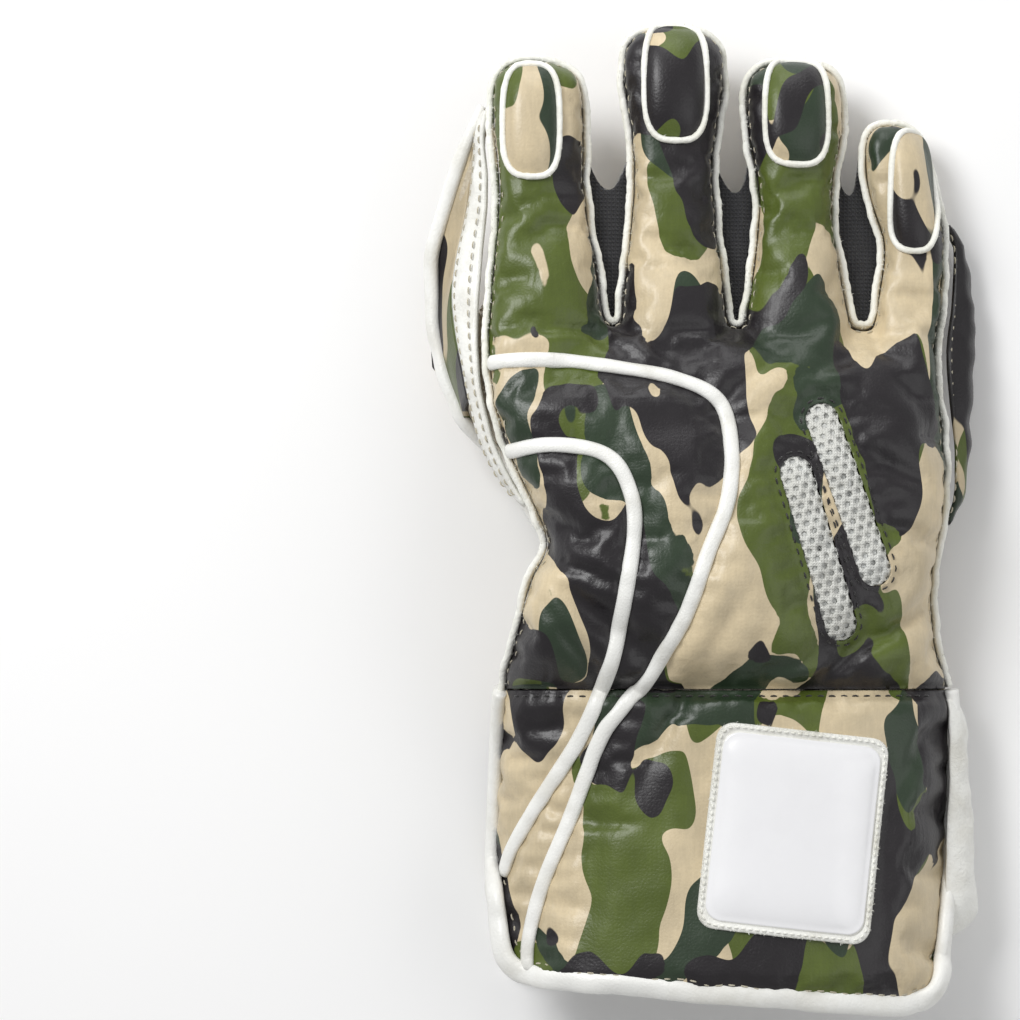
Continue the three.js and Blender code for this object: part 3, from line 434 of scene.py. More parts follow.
def resample(path, spacing, closed=False):
    path = np.asarray(path, float)
    if closed:
        path = np.vstack([path, path[:1]])
    lengths = lengthsOf(path)
    count = max(int(round(lengths[-1] / spacing)), 3)
    out = pathAt(path, lengths, np.linspace(0, lengths[-1], count + 1))
    return out[:-1] if closed else out


def smoothPath(path, rounds, closed=False):
    path = np.array(path, float)
    for _ in range(rounds):
        if closed:
            path = (np.roll(path, 1, 0) + 2 * path + np.roll(path, -1, 0)) / 4
        else:
            path[1:-1] = (path[:-2] + 2 * path[1:-1] + path[2:]) / 4
    return path


def curvePath(points, spacing, steps=16):
    points = np.asarray(points, float)
    padded = np.vstack([2 * points[0] - points[1], points, 2 * points[-1] - points[-2]])
    out = []
    for k in range(1, len(padded) - 2):
        p0, p1, p2, p3 = padded[k - 1:k + 3]
        for t in np.linspace(0, 1, steps, endpoint=False):
            out.append(0.5 * (2 * p1 + (p2 - p0) * t + (2 * p0 - 5 * p1 + 4 * p2 - p3) * t * t
                              + (3 * p1 - p0 - 3 * p2 + p3) * t ** 3))
    out.append(points[-1])
    return resample(out, spacing)


def boundaryPaths(obj, keep):
    bm = bmesh.new()
    bm.from_mesh(obj.data)
    links = {}
    for edge in bm.edges:
        if len(edge.link_faces) != 1:
            continue
        ends = [np.array(v.co) * 1000 - shift for v in edge.verts]
        if keep((ends[0] + ends[1]) / 2):
            a, b = edge.verts[0].index, edge.verts[1].index
            links.setdefault(a, []).append(b)
            links.setdefault(b, []).append(a)
    places = {v.index: np.array(v.co) * 1000 - shift for v in bm.verts if v.index in links}
    bm.free()
    paths, seen = [], set()
    starts = [k for k in links if len(links[k]) == 1] + list(links)
    for start in starts:
        if start in seen:
            continue
        path, at = [start], start
        seen.add(start)
        while True:
            ahead = [k for k in links[at] if k not in seen]
            if not ahead:
                break
            at = ahead[0]
            seen.add(at)
            path.append(at)
        paths.append(np.array([places[k] for k in path]))
    return sorted(paths, key=len, reverse=True)


# Where the rays that look for a surface start, in mm from the glove's floor or its seam
rays = {"above": 200, "below": 50, "nearby": 3}


class Surface:
    def __init__(self, obj):
        faces = [list(face.vertices) for face in obj.data.polygons]
        self.tree = BVHTree.FromPolygons([Vector(p) for p in pointsOf(obj)], faces)

    def above(self, x, y, side=1):
        hit = self.tree.ray_cast(Vector((x, y, side * rays["above"])), Vector((0, 0, -side)))
        if hit[0] is None:
            hit = self.tree.find_nearest(Vector((x, y, float(seamAt(x, y)) + side * rays["nearby"])))
        normal = hit[1] if hit[1].z * side > 0 else -hit[1]
        return np.array(hit[0]), np.array(normal)

    def along(self, path, side=1):
        found = [self.above(p[0], p[1], side) for p in path]
        normals = smoothPath([n for _, n in found], 6)
        return np.array([p for p, _ in found]), unit(normals)


def sweep(name, path, normals, profile, closed=False, scale=None):
    path, normals = np.asarray(path, float), np.asarray(normals, float)
    if closed:
        tangent = np.roll(path, -1, 0) - np.roll(path, 1, 0)
    else:
        tangent = np.gradient(path, axis=0)
    tangent = unit(tangent)
    side = unit(np.cross(tangent, normals))
    up = np.cross(side, tangent)
    profile = np.asarray(profile, float)
    scale = np.ones(len(path)) if scale is None else scale
    rings = (path[:, None, :] + (side[:, None, :] * profile[None, :, :1]
             + up[:, None, :] * profile[None, :, 1:2]) * scale[:, None, None])
    count = len(profile)
    faces = ringFaces(len(path), count, not closed)
    if closed:
        last = (len(path) - 1) * count
        faces += [(last + k, last + (k + 1) % count, (k + 1) % count, k) for k in range(count)]
    return meshObject(name, rings.reshape(-1, 3), faces)


def roundProfile(width, height, lift=0.0, count=14, power=2.0):
    angle = 2 * np.pi * np.arange(count) / count
    return np.column_stack([
        width / 2 * rounded(np.cos(angle), power),
        lift + height / 2 * rounded(np.sin(angle), power),
    ])


def gridObject(name, grid, thickness=0.0, outward=None):
    grid = np.asarray(grid, float)
    rows, cols = grid.shape[:2]
    faces = [(i * cols + j, i * cols + j + 1, (i + 1) * cols + j + 1, (i + 1) * cols + j)
             for i in range(rows - 1) for j in range(cols - 1)]
    obj = meshObject(name, grid.reshape(-1, 3), faces)
    if outward is not None:
        faceAlong(obj, outward)
    if thickness:
        thicken(obj, thickness)
    return obj


def thicken(obj, thickness):
    for _ in range(2 - len(obj.data.materials)):
        obj.data.materials.append(None)
    solid = obj.modifiers.new("wall", "SOLIDIFY")
    solid.thickness = thickness / 1000
    solid.offset = -1.0
    solid.use_even_offset = False
    solid.material_offset = 1
    solid.material_offset_rim = 0
    applyModifiers(obj)


def joined(name, blocks):
    points, faces = [], []
    base = 0
    for block, cells in blocks:
        points.append(block)
        faces += [tuple(base + i for i in cell) for cell in cells]
        base += len(block)
    return meshObject(name, np.vstack(points), faces)


def copyOf(obj, name):
    new = obj.copy()
    new.data = obj.data.copy()
    new.name = name
    new.data.name = name
    bpy.context.scene.collection.objects.link(new)
    return new


def cutPlan(obj, outline):
    outline = np.asarray(outline, float)
    centre = outline.mean(0)
    for k in range(len(outline)):
        a, b = outline[k], outline[(k + 1) % len(outline)]
        edge = b - a
        if np.linalg.norm(edge) < 1e-6:
            continue
        out = unit(np.array([edge[1], -edge[0]]))
        if np.dot(out, a - centre) < 0:
            out = -out
        cutPlane(obj, (a[0], a[1], 0), (out[0], out[1], 0))


# Piping routes over the back, as shares of half the knuckle width and stations
upperPipingRoute = [
    (-0.98, 0.89), (-0.72, 0.896), (-0.43, 0.872), (-0.22, 0.845), (-0.07, 0.8), (-0.015, 0.73),
    (-0.002, 0.6), (-0.03, 0.49), (-0.1, 0.37), (-0.18, 0.215), (-0.255, 0.12), (-0.35, 0.015),
    (-0.44, -0.06), (-0.52, -0.15), (-0.64, -0.4), (-0.745, -0.6), (-0.8, -0.77), (-0.805, -0.87),
]
lowerPipingRoute = [
    (-0.92, 0.645), (-0.74, 0.662), (-0.56, 0.65), (-0.46, 0.61), (-0.4, 0.52), (-0.395, 0.42),
    (-0.42, 0.28), (-0.46, 0.13), (-0.51, 0.01), (-0.61, -0.16), (-0.77, -0.36), (-0.87, -0.5),
    (-0.9, -0.58),
]
vents = {"vent_upper": ((0.37, 0.74), (0.58, 0.33)), "vent_lower": ((0.26, 0.59), (0.44, 0.18))}


def routePath(route, spacing=1.0):
    return curvePath([(x * halfKnuckles, float(yAt(station))) for x, station in route], spacing)


def ventEnds(name):
    return [np.array([x * halfKnuckles, float(yAt(station))]) for x, station in vents[name]]


def pillPath(name, radius, spacing=0.8):
    ends = ventEnds(name)
    turn = math.atan2(*(ends[1] - ends[0])[::-1])
    outline = []
    for end, start in ((ends[1], turn - math.pi / 2), (ends[0], turn + math.pi / 2)):
        for k in range(13):
            angle = start + math.pi * k / 12
            outline.append(end + radius * np.array([math.cos(angle), math.sin(angle)]))
    return resample(outline, spacing, True)


def planDistance(path, x, y):
    lines = np.asarray(path)[:, :2]
    best = np.full(len(x), 1e9)
    where = np.zeros(len(x))
    for start in range(0, len(lines), 64):
        block = lines[start:start + 64]
        d = np.hypot(x[:, None] - block[None, :, 0], y[:, None] - block[None, :, 1])
        near = d.argmin(1)
        found = d[np.arange(len(x)), near]
        where = np.where(found < best, near + start, where)
        best = np.minimum(best, found)
    return best, where


# Seams draw the leather in and pucker it on both sides
pucker = {"dip": 0.9, "dipReach": 2.4, "wave": 0.28, "waveReach": 5.5, "waveLength": 7.5,
          "seamDip": 0.8, "ventDip": 0.6, "narrowReach": 1.6, "ventRadius": 7.2,
          "from": 1.5, "full": 6, "drift": 11.0}


def drawIn(obj, path, depth, reach=pucker["dipReach"]):
    points = pointsOf(obj)
    x, y, z = points.T
    distance, where = planDistance(path, x, y)
    dip = depth * np.exp(-(distance / reach) ** 2)
    phase = 2 * np.pi * where / pucker["waveLength"] + 2 * np.sin(where / pucker["drift"])
    wave = pucker["wave"] * np.sin(phase) * np.exp(-((distance - reach) / pucker["waveReach"]) ** 2)
    weight = smoothStep(z - seamAt(x, y), pucker["from"], pucker["full"])
    points[:, 2] = z - (dip + wave * (depth / pucker["dip"])) * weight
    setPoints(obj, points)


upperPath, lowerPath = routePath(upperPipingRoute), routePath(lowerPipingRoute)
wristPath = resample([(x, glove["cuffDepth"]) for x in glove["wristSpan"]], 1.0)
for path in (upperPath, lowerPath):
    drawIn(backSkin, path, pucker["dip"])
drawIn(backSkin, wristPath, pucker["seamDip"], pucker["narrowReach"])
for name in vents:
    drawIn(backSkin, pillPath(name, pucker["ventRadius"]), pucker["ventDip"], pucker["narrowReach"])
nailPlans = {}
for name, finger in fingers.items():
    nailY = crotchY + finger["length"] - finger["nailFromTip"] - finger["nailLength"] / 2
    along = (nailY - crotchY) / finger["length"]
    centre = (finger["rootX"] * (1 - along) + finger["tipX"] * along) * halfKnuckles
    nailX = centre + finger["nailShift"]
    nailPlans[name] = (nailX, nailY, finger["nailWidth"] / 2, finger["nailLength"] / 2)

# The padded leather of the back swells between its seams: a coarse copy, ten times as large, is
# simulated as cloth, and the fine skin follows it
cloth = {"voxel": 3.0, "scale": 10, "frames": 22, "quality": 6, "mass": 0.4, "pressure": 2.2,
         "growth": 0.055, "cap": 3.2, "stiffness": 14, "bending": 1.2, "followed": 6, "soften": 0.4,
         "seamFrom": 2.5, "seamFull": 6.5, "lineFrom": 2.0, "lineFull": 5.0, "rimFrom": 2, "rimFull": 12,
         "ventRadius": 6, "nailMargin": 3, "nailFrom": 0.9, "nailFull": 1.2}


def pinWeights(points):
    x, y, z = points.T
    free = smoothStep(z - seamAt(x, y), cloth["seamFrom"], cloth["seamFull"])
    lines = [upperPath, lowerPath, wristPath] + [pillPath(name, cloth["ventRadius"]) for name in vents]
    for path in lines:
        distance, _ = planDistance(path, x, y)
        free = np.minimum(free, smoothStep(distance, cloth["lineFrom"], cloth["lineFull"]))
    for nailX, nailY, halfWidth, halfLength in nailPlans.values():
        inside = np.maximum(np.abs(x - nailX) / (halfWidth + cloth["nailMargin"]),
                            np.abs(y - nailY) / (halfLength + cloth["nailMargin"]))
        free = np.minimum(free, smoothStep(inside, cloth["nailFrom"], cloth["nailFull"]))
    return 1 - np.minimum(free, smoothStep(y, cloth["rimFrom"], cloth["rimFull"]))


def settleCloth(skin):
    coarse = blendedDome("cloth_coarse", 1, cloth["voxel"])
    cutPlane(coarse, (0, 0, back["seamRise"]), (0, 0, -1))
    backHeights(coarse)
    rest = pointsOf(coarse)
    coarse.data.vertices.foreach_set("co", (rest * cloth["scale"] / 1000).ravel())
    coarse.data.update()
    pins = coarse.vertex_groups.new(name="pin")
    for k, weight in enumerate(pinWeights(rest)):
        if weight > 0:
            pins.add([k], float(weight), "REPLACE")
    sim = coarse.modifiers.new("cloth", "CLOTH")
    sim.settings.vertex_group_mass = "pin"
    sim.settings.quality = cloth["quality"]
    sim.settings.mass = cloth["mass"]
    sim.settings.tension_stiffness = sim.settings.compression_stiffness = cloth["stiffness"]
    sim.settings.bending_stiffness = cloth["bending"]
    sim.settings.shrink_min = -cloth["growth"]
    sim.settings.use_pressure = True
    sim.settings.uniform_pressure_force = cloth["pressure"]
    sim.settings.effector_weights.gravity = 0
    sim.point_cache.frame_start = 1
    sim.point_cache.frame_end = cloth["frames"]
    for step in range(1, cloth["frames"] + 1):
        bpy.context.scene.frame_set(step)
    applyModifiers(coarse)
    flat = np.empty(len(coarse.data.vertices) * 3)
    coarse.data.vertices.foreach_get("co", flat)
    moved = flat.reshape(-1, 3) * 1000 / cloth["scale"] - rest
    size = np.linalg.norm(moved, axis=1)
    print("stage: cloth moved", round(float(size.mean()), 2), round(float(size.max()), 2), flush=True)
    moved *= np.minimum(1, cloth["cap"] / np.maximum(size, 1e-6))[:, None]
    tree = KDTree(len(rest))
    for k, place in enumerate(rest):
        tree.insert(Vector(place), k)
    tree.balance()
    points = pointsOf(skin)
    for k, place in enumerate(points):
        near = tree.find_n(Vector(place), cloth["followed"])
        shares = np.array([1 / (found[2] + cloth["soften"]) ** 2 for found in near])
        points[k] = place + shares @ moved[[found[1] for found in near]] / shares.sum()
    setPoints(skin, points)
    bpy.data.objects.remove(coarse)
    bpy.context.scene.frame_set(1)


settleCloth(backSkin)
backTop = Surface(backSkin)
palmUnder = Surface(palmSkin)


def underPalm(x, y):
    return palmUnder.tree.ray_cast(Vector((x, y, -rays["below"])), Vector((0, 0, 1)))


print("stage: seams drawn in", flush=True)

# Hand and cuff panels, with a small gap at the seams
wristY = glove["cuffDepth"]
panel = {"gap": 0.25, "cuffInset": 2.6, "pastWrist": 20, "pastSide": 12, "rimFrom": 0.4,
         "seamReach": 0.7, "seamFrom": 0.5}


def cuffPlan():
    inset, top = panel["cuffInset"], wristY + panel["pastWrist"]
    corner = glove["cuffCorner"] - inset
    left = handEdge(-1, "left") + glove["edgeInset"] + inset
    right = handEdge(-1, "right") - glove["edgeInset"] - inset
    outline = []
    for x, y, start in ((left + corner, glove["mouthSlant"] + inset + corner, 1.0),
                        (right - corner, inset + corner, 1.5)):
        for k in range(7):
            angle = math.pi * (start + 0.5 * k / 6)
            outline.append([x + corner * math.cos(angle), y + corner * math.sin(angle)])
    return outline + [[right + panel["pastSide"], top], [left - panel["pastSide"], top]]


def panelOf(skin, name, y, ahead):
    piece = copyOf(skin, name)
    cutPlane(piece, (0, y + ahead * panel["gap"], 0), (0, -ahead, 0))
    if ahead < 0:
        cutPlan(piece, cuffPlan())
    return piece


handBack = panelOf(backSkin, "hand_back_leather", wristY, 1)
cuffBack = panelOf(backSkin, "cuff_back_leather", wristY, -1)
palmFacing = panelOf(palmSkin, "palm_facing_rubber", glove["palmStart"], 1)
cuffPalm = panelOf(palmSkin, "cuff_palm_leather", glove["palmStart"], -1)


def atSeam(place):
    rise = abs(place[2] - float(seamAt(place[0], place[1])))
    return rise < panel["seamReach"] and place[1] > wristY + panel["seamFrom"]


weltPaths = boundaryPaths(handBack, atSeam)
cuffBackRim = boundaryPaths(cuffBack, lambda p: p[1] < wristY - panel["rimFrom"])[0]
cuffPalmRim = boundaryPaths(cuffPalm, lambda p: p[1] < glove["palmStart"] - panel["rimFrom"])[0]
print("stage: panels", len(weltPaths), [len(p) for p in weltPaths[:3]], len(cuffBackRim), flush=True)
for obj, side in ((handBack, 1), (cuffBack, 1), (palmFacing, -1), (cuffPalm, -1)):
    outwards(obj)
    faceAlong(obj, (0, 0, side))
    thicken(obj, glove["wall"])
print("stage: walls", flush=True)

# Raw welt round the hand and the fingers
welt = {"width": 2.1, "height": 5.0, "out": 1.2, "ruffle": 0.4, "fineRuffle": 0.4, "rise": 0.5,
        "lean": 0.12, "sway": 0.25, "swell": 0.1, "squareness": 3.4, "spacing": 0.9,
        "wave": (0.11, 0.3, 7), "fine": (0.5, 4.3, 1)}


def ripple(count, pace, row, layer):
    return np.array([noise.noise(Vector((k * pace, row, layer))) for k in range(count)])


def sideways(path):
    tangent = np.gradient(path, axis=0)
    return unit(np.column_stack([tangent[:, 1], -tangent[:, 0], np.zeros(len(path))]))


def weltPiece():
    path = smoothPath(resample(smoothPath(weltPaths[0], 4), welt["spacing"]), 2)
    out = sideways(path)
    middle = len(path) // 2
    probe = path[middle] + out[middle] * 2
    inside = backTop.tree.ray_cast(Vector((probe[0], probe[1], rays["above"])), Vector((0, 0, -1)))[0]
    if inside is not None:
        out = -out
    wave = ripple(len(path), *welt["wave"])
    fine = ripple(len(path), *welt["fine"])
    ruffle = welt["out"] + welt["ruffle"] * (wave + welt["fineRuffle"] * fine)
    line = path + out * ruffle[:, None]
    line[:, 2] = seamAt(line[:, 0], line[:, 1]) + welt["rise"] * wave
    up = np.tile([0.0, 0.0, 1.0], (len(line), 1)) + out * (welt["sway"] * wave + welt["lean"])[:, None]
    profile = roundProfile(welt["width"], welt["height"], 0, 12, welt["squareness"])
    return sweep("edge_welt_leather", line, up, profile, scale=1 + welt["swell"] * fine), line, out


weltObj, weltLine, weltOut = weltPiece()

# White piping sewn over the back
piping = {"width": 4.5, "height": 2.9, "lift": 0.75, "spacing": 1.0, "swell": 0.05, "endLength": 3.5,
          "wave": (0.13, 1.3, 2)}


def pipingPiece(name, route):
    places, normals = backTop.along(routePath(route, piping["spacing"]))
    places = smoothPath(places, 4)
    n = np.arange(len(places))
    swell = 1 + piping["swell"] * ripple(len(n), *piping["wave"])
    ends = np.minimum(1, np.minimum(n + 1.5, len(n) - n + 0.5) / piping["endLength"]) ** 0.5
    profile = roundProfile(piping["width"], piping["height"], piping["lift"])
    return sweep(name, places, normals, profile, scale=swell * ends)


pipingUpper = pipingPiece("piping_upper_leather", upperPipingRoute)
pipingLower = pipingPiece("piping_lower_leather", lowerPipingRoute)

# Bound edges of the cuff
binding = {"width": 6.6, "height": 4.4, "squareness": 2.3, "spacing": 1.1, "overhang": 0.4,
           "sideOverhang": 2.2, "sideLift": 2.2, "sideFrom": 0.3, "sideFull": 0.95}


def rimPath(rim):
    return smoothPath(resample(smoothPath(rim, 6), binding["spacing"]), 8)


def bindingPiece(name, rim, surface, side):
    path = rimPath(rim)
    normals = [np.array(surface.tree.find_nearest(Vector(place))[1]) for place in path]
    normals = unit(smoothPath(normals, 10))
    if normals[len(path) // 2][2] * side < 0:
        normals = -normals
    middle = path - normals * glove["wall"] / 2
    out = sideways(path)
    if out[len(path) // 2][1] > 0:
        out = -out
    # Along the cuff's sides it stands out further, so that it shows from above
    beside = smoothStep(np.abs(out[:, 0]), binding["sideFrom"], binding["sideFull"])[:, None]
    middle += out * (binding["overhang"] + binding["sideOverhang"] * beside)
    middle += np.array([0, 0, side * binding["sideLift"]]) * beside
    middle[:, 2] = np.maximum(middle[:, 2], binding["height"] / 2)
    profile = roundProfile(binding["width"], binding["height"], power=binding["squareness"])
    return sweep(name, middle, normals, profile)


cuffBackBinding = bindingPiece("cuff_back_binding_leather", cuffBackRim, backTop, 1)
cuffPalmBinding = bindingPiece("cuff_palm_binding_leather", cuffPalmRim, palmUnder, -1)
print("stage: welt, piping and bindings", flush=True)


def cutWith(obj, cutter):
    cut = obj.modifiers.new("cut", "BOOLEAN")
    cut.operation = "DIFFERENCE"
    cut.solver = "MANIFOLD"
    cut.object = cutter
    applyModifiers(obj)
    bpy.data.objects.remove(cutter)


def prismObject(name, outline, low, high):
    outline = np.asarray(outline)[:, :2]
    count = len(outline)
    rings = [np.column_stack([outline, np.full(count, z)]) for z in (low, high)]
    obj = meshObject(name, np.vstack(rings), ringFaces(2, count), smooth=False)
    outwards(obj)
    return obj


# Windows of white spacer mesh
vent = {"halfWidth": 4.9, "pitch": 3.0, "hole": 0.5, "holeSink": 0.25, "thickness": 0.7, "swell": 0.7,
        "sink": 0.35, "backing": 1.15, "backingWall": 0.6, "backingOut": 1.06, "backingRings": 9,
        "cells": 30, "margin": 0.5, "cutHeight": 120}


def ventPieces(name):
    outline = pillPath(name, vent["halfWidth"])
    centre = outline.mean(0)
    cutWith(handBack, prismObject("vent_cutter", outline, 0, vent["cutHeight"]))
    ends = ventEnds(name)
    length = np.linalg.norm(ends[1] - ends[0])
    axis = (ends[1] - ends[0]) / length
    across = np.array([-axis[1], axis[0]])

    def depthAt(place):
        along = np.clip(np.dot(place - ends[0], axis), 0, length)
        return vent["halfWidth"] - np.linalg.norm(place - ends[0] - axis * along)

    def lifted(place, drop):
        spot, normal = backTop.above(place[0], place[1])
        inside = min(max(depthAt(place), 0) / vent["halfWidth"], 1)
        return spot + normal * (vent["swell"] * (1 - (1 - inside) ** 2) - drop)

    pitch, corner = vent["pitch"], vent["pitch"] / math.sqrt(3)
    cells = [(k, (k + 1) % 6, 6 + (k + 1) % 6, 6 + k) for k in range(6)]
    blocks = []
    for row in range(-vent["cells"], vent["cells"] + 1):
        for col in range(-vent["cells"], vent["cells"] + 1):
            u = (col + 0.5 * (row % 2)) * pitch
            v = row * pitch * math.sqrt(3) / 2
            place = centre + axis * v + across * u
            if depthAt(place) < -vent["margin"]:
                continue
            ring = []
            for scale, drop in ((1.0, vent["sink"]), (vent["hole"], vent["sink"] + vent["holeSink"])):
                for k in range(6):
                    angle = math.pi / 3 * (k + 0.5)
                    spot = place + corner * scale * (across * math.cos(angle) + axis * math.sin(angle))
                    ring.append(lifted(spot, drop))
            blocks.append((np.array(ring), cells))
    net = joined(name + "_mesh", blocks)
    bm = bmesh.new()
    bm.from_mesh(net.data)
    bmesh.ops.remove_doubles(bm, verts=bm.verts, dist=1e-4)
    bmesh.ops.recalc_face_normals(bm, faces=bm.faces)
    bm.to_mesh(net.data)
    bm.free()
    thicken(net, vent["thickness"])
    rings = [[lifted(centre + (spot - centre) * share, vent["backing"]) for spot in outline]
             for share in np.linspace(vent["backingOut"], 0.02, vent["backingRings"])]
    rings = [ring + [ring[0]] for ring in rings]
    return net, gridObject(name + "_backing", rings, vent["backingWall"])


ventObjects = {name: ventPieces(name) for name in vents}
print("stage: vents", flush=True)


# Pads that lie on the back: rings inside one outline, over a stiffened copy of the ground
def padObject(name, outline, profile, stiff, skirt):
    outline = np.asarray(outline, float)
    centre = outline.mean(0)
    plan = np.vstack([centre + (outline - centre) * share for share, _ in profile])
    ground = np.array([backTop.above(x, y)[0][2] for x, y in plan])
    dx, dy = (plan - centre).T
    basis = np.column_stack([np.ones_like(dx), dx, dy, dx * dx, dx * dy, dy * dy])
    fit = basis @ np.linalg.lstsq(basis, ground, rcond=None)[0]
    level = ground * (1 - stiff) + (fit + 0.35 * max((ground - fit).max(), 0)) * stiff
    count = len(outline)
    top = np.column_stack([plan, level + np.repeat([height for _, height in profile], count)])
    foot = top[-count:] - [0, 0, skirt]
    return meshObject(name, np.vstack([top, foot]), ringFaces(len(profile) + 1, count))


nail = {"rise": 2.3, "edge": 0.5, "stiff": 0.65, "grow": 0.4, "skirt": 2.5, "rings": 16, "around": 64,
        "squareness": 3.2, "pipingWidth": 1.9, "pipingHeight": 2.0, "pipingLift": 0.7, "pipingGrow": 0.8,
        "uneven": 0.16, "fibreLift": 1.1}


def ovalPath(plan, grow):
    x, y, halfWidth, halfLength = plan
    angle = 2 * np.pi * np.arange(nail["around"]) / nail["around"]
    return np.column_stack([
        x + (halfWidth + grow) * rounded(np.cos(angle), nail["squareness"]),
        y + (halfLength + grow) * rounded(np.sin(angle), nail["squareness"]),
    ])


nailRings = []
nailObjects = {}
for name, plan in nailPlans.items():
    shares = np.sin(np.linspace(0.02, 0.5, nail["rings"]) * np.pi)
    profile = [(s, nail["edge"] + nail["rise"] * (1 - s ** 4)) for s in shares]
    pad = padObject(f"nail_pad_{name}_leather", ovalPath(plan, nail["grow"]), profile, nail["stiff"],
                    nail["skirt"])
    ring = ovalPath(plan, nail["pipingGrow"])
    places, normals = backTop.along(np.vstack([ring, ring[:2]]))
    places, normals = smoothPath(places[:-2], 3, True), smoothPath(normals[:-2], 6, True)
    profile = roundProfile(nail["pipingWidth"], nail["pipingHeight"], nail["pipingLift"], 10)
    bumps = np.array([noise.noise(Vector((*(place * 0.9), 3))) for place in places[:, :2]])
    trim = sweep(f"nail_piping_{name}_leather", places, normals, profile, True,
                 scale=1 + nail["uneven"] * bumps)
    nailObjects[name] = (pad, trim)
    nailRings.append(places + normals * nail["fibreLift"])
print("stage: nails", flush=True)

patch = {"x": 0.25, "station": -0.44, "width": 50, "length": 59, "corner": 5, "turn": -6.5, "rise": 1.9,
         "flange": 0.8, "groove": 0.35, "padEnd": 0.92, "padRings": 18, "stiff": 0.85, "skirt": 1.6,
         "edgeDrop": 0.4, "spacing": 1.0}


def patchOutline(grow=0.0):
    centre = np.array([patch["x"] * halfKnuckles, float(yAt(patch["station"]))])
    turn = math.radians(patch["turn"])
    corner = patch["corner"]
    outline = []
    for sx, sy, start in ((1, -1, -0.5), (1, 1, 0), (-1, 1, 0.5), (-1, -1, 1)):
        for k in range(8):
            angle = math.pi * (start + 0.5 * k / 7)
            px = sx * (patch["width"] / 2 - corner) + (corner + grow) * math.cos(angle)
            py = sy * (patch["length"] / 2 - corner) + (corner + grow) * math.sin(angle)
            outline.append(centre + [px * math.cos(turn) - py * math.sin(turn),
                                     px * math.sin(turn) + py * math.cos(turn)])
    return resample(outline, patch["spacing"], True)


def patchProfile():
    end, edge = patch["padEnd"], patch["flange"]
    rows = [(s, edge + patch["rise"] * (1 - (s / end) ** 7))
            for s in np.linspace(0.02, end - 0.02, patch["padRings"])]
    rows += [(end - 0.008, edge + 0.3), (end, edge - patch["groove"]), (end + 0.008, edge - patch["groove"]),
             (end + 0.02, edge), (0.97, edge + 0.15), (0.99, edge), (1.0, edge - patch["edgeDrop"])]
    return rows


patchObj = padObject("patch_pad", patchOutline(), patchProfile(), patch["stiff"], patch["skirt"])
print("stage: patch", flush=True)

# Black gussets in the finger gaps
gusset = {"sink": 3.6, "reach": 52, "behind": 8, "hollow": 0.22, "sag": -1.2, "ripple": 0.5, "under": 1.3,
          "wall": 1.3, "rows": 44, "cols": 18}
gussetObjects = {}
for first, second in zip(fingerNames, fingerNames[1:]):
    a, b = fingers[first], fingers[second]
    grid = []
    for across in np.linspace(0, 1, gusset["cols"]):
        line = []
        bend = 1 - (2 * across - 1) ** 2
        for share in np.linspace(0, 1, gusset["rows"]):
            length = gusset["reach"] + gusset["behind"] - gusset["hollow"] * gusset["reach"] * bend
            y = crotchY - gusset["behind"] + share * length
            centreA, halfA = fingerEdges(a, (y - crotchY) / a["length"])
            centreB, halfB = fingerEdges(b, (y - crotchY) / b["length"])
            left, right = centreA + halfA - gusset["under"], centreB - halfB + gusset["under"]
            if right < left:
                left = right = (left + right) / 2
            x = left + (right - left) * across
            dip = gusset["sink"] + gusset["sag"] * bend * min((right - left) / 8, 1)
            dip += gusset["ripple"] * noise.noise(Vector((x / 3, y / 7, 2)))
            line.append([x, y, float(seamAt(x, y)) - dip])
        grid.append(line)
    name = f"gusset_{first}_{second}"
    gussetObjects[name] = gridObject(name + "_cloth", grid, gusset["wall"], (0, 0, 1))

# Thumb stall folded under the palm
thumb = {"width": 40, "thickness": 26, "curve": 2.4, "collarEnd": 0.3, "around": 56, "wall": 2.2,
         "rootFrom": 0.02, "rootFull": 0.15, "rootStep": 1.4, "rootHide": 2.3, "taperFrom": 0.86,
         "pressed": 0.5, "floor": 0.4, "lowest": 0.05, "seam": 0.004, "stallRings": 46, "tipRings": 14,
         "rootRings": 40, "step": 0.02, "bendDepth": 1.1,
         "bends": ((0.55, 0.03, 1.0), (0.42, 0.025, 0.7)), "waves": ((0.7, 13), (0.25, 5))}
thumbRows = table(
    "at x station height width",
    (0, -0.28, -0.02, 0.92, 0.84), (1 / 6, -0.3, 0.18, 0.62, 0.96), (2 / 6, -0.4, 0.42, 0.5, 1.0),
    (3 / 6, -0.58, 0.66, 0.5, 1.0), (4 / 6, -0.77, 0.845, 0.5, 0.97), (5 / 6, -0.95, 0.99, 0.52, 0.9),
    (1, -1.03, 1.06, 0.54, 0.86),
)


def thumbPoint(share):
    return np.array([column(thumbRows, share, "x") * halfKnuckles,
                     float(yAt(column(thumbRows, share, "station"))), 0.0])


def thumbFrame(share):
    ahead = unit(thumbPoint(min(share + thumb["step"], 1)) - thumbPoint(max(share - thumb["step"], 0)))
    return (thumbPoint(share), np.array([ahead[1], -ahead[0], 0.0]),
            float(column(thumbRows, share, "height")) * thumb["thickness"],
            float(column(thumbRows, share, "width")) * thumb["width"] / 2)


def thumbTaper(share):
    if share <= thumb["taperFrom"]:
        return 1.0
    past = min((share - thumb["taperFrom"]) / (1 - thumb["taperFrom"]), 0.99999)
    return (1 - past ** 3) ** (1 / 3)


def thumbEdge(share, out, up):
    centre, side, height, half = thumbFrame(share)
    place = centre - side * (half * thumbTaper(share) + out)
    place[2] = height + up
    return place


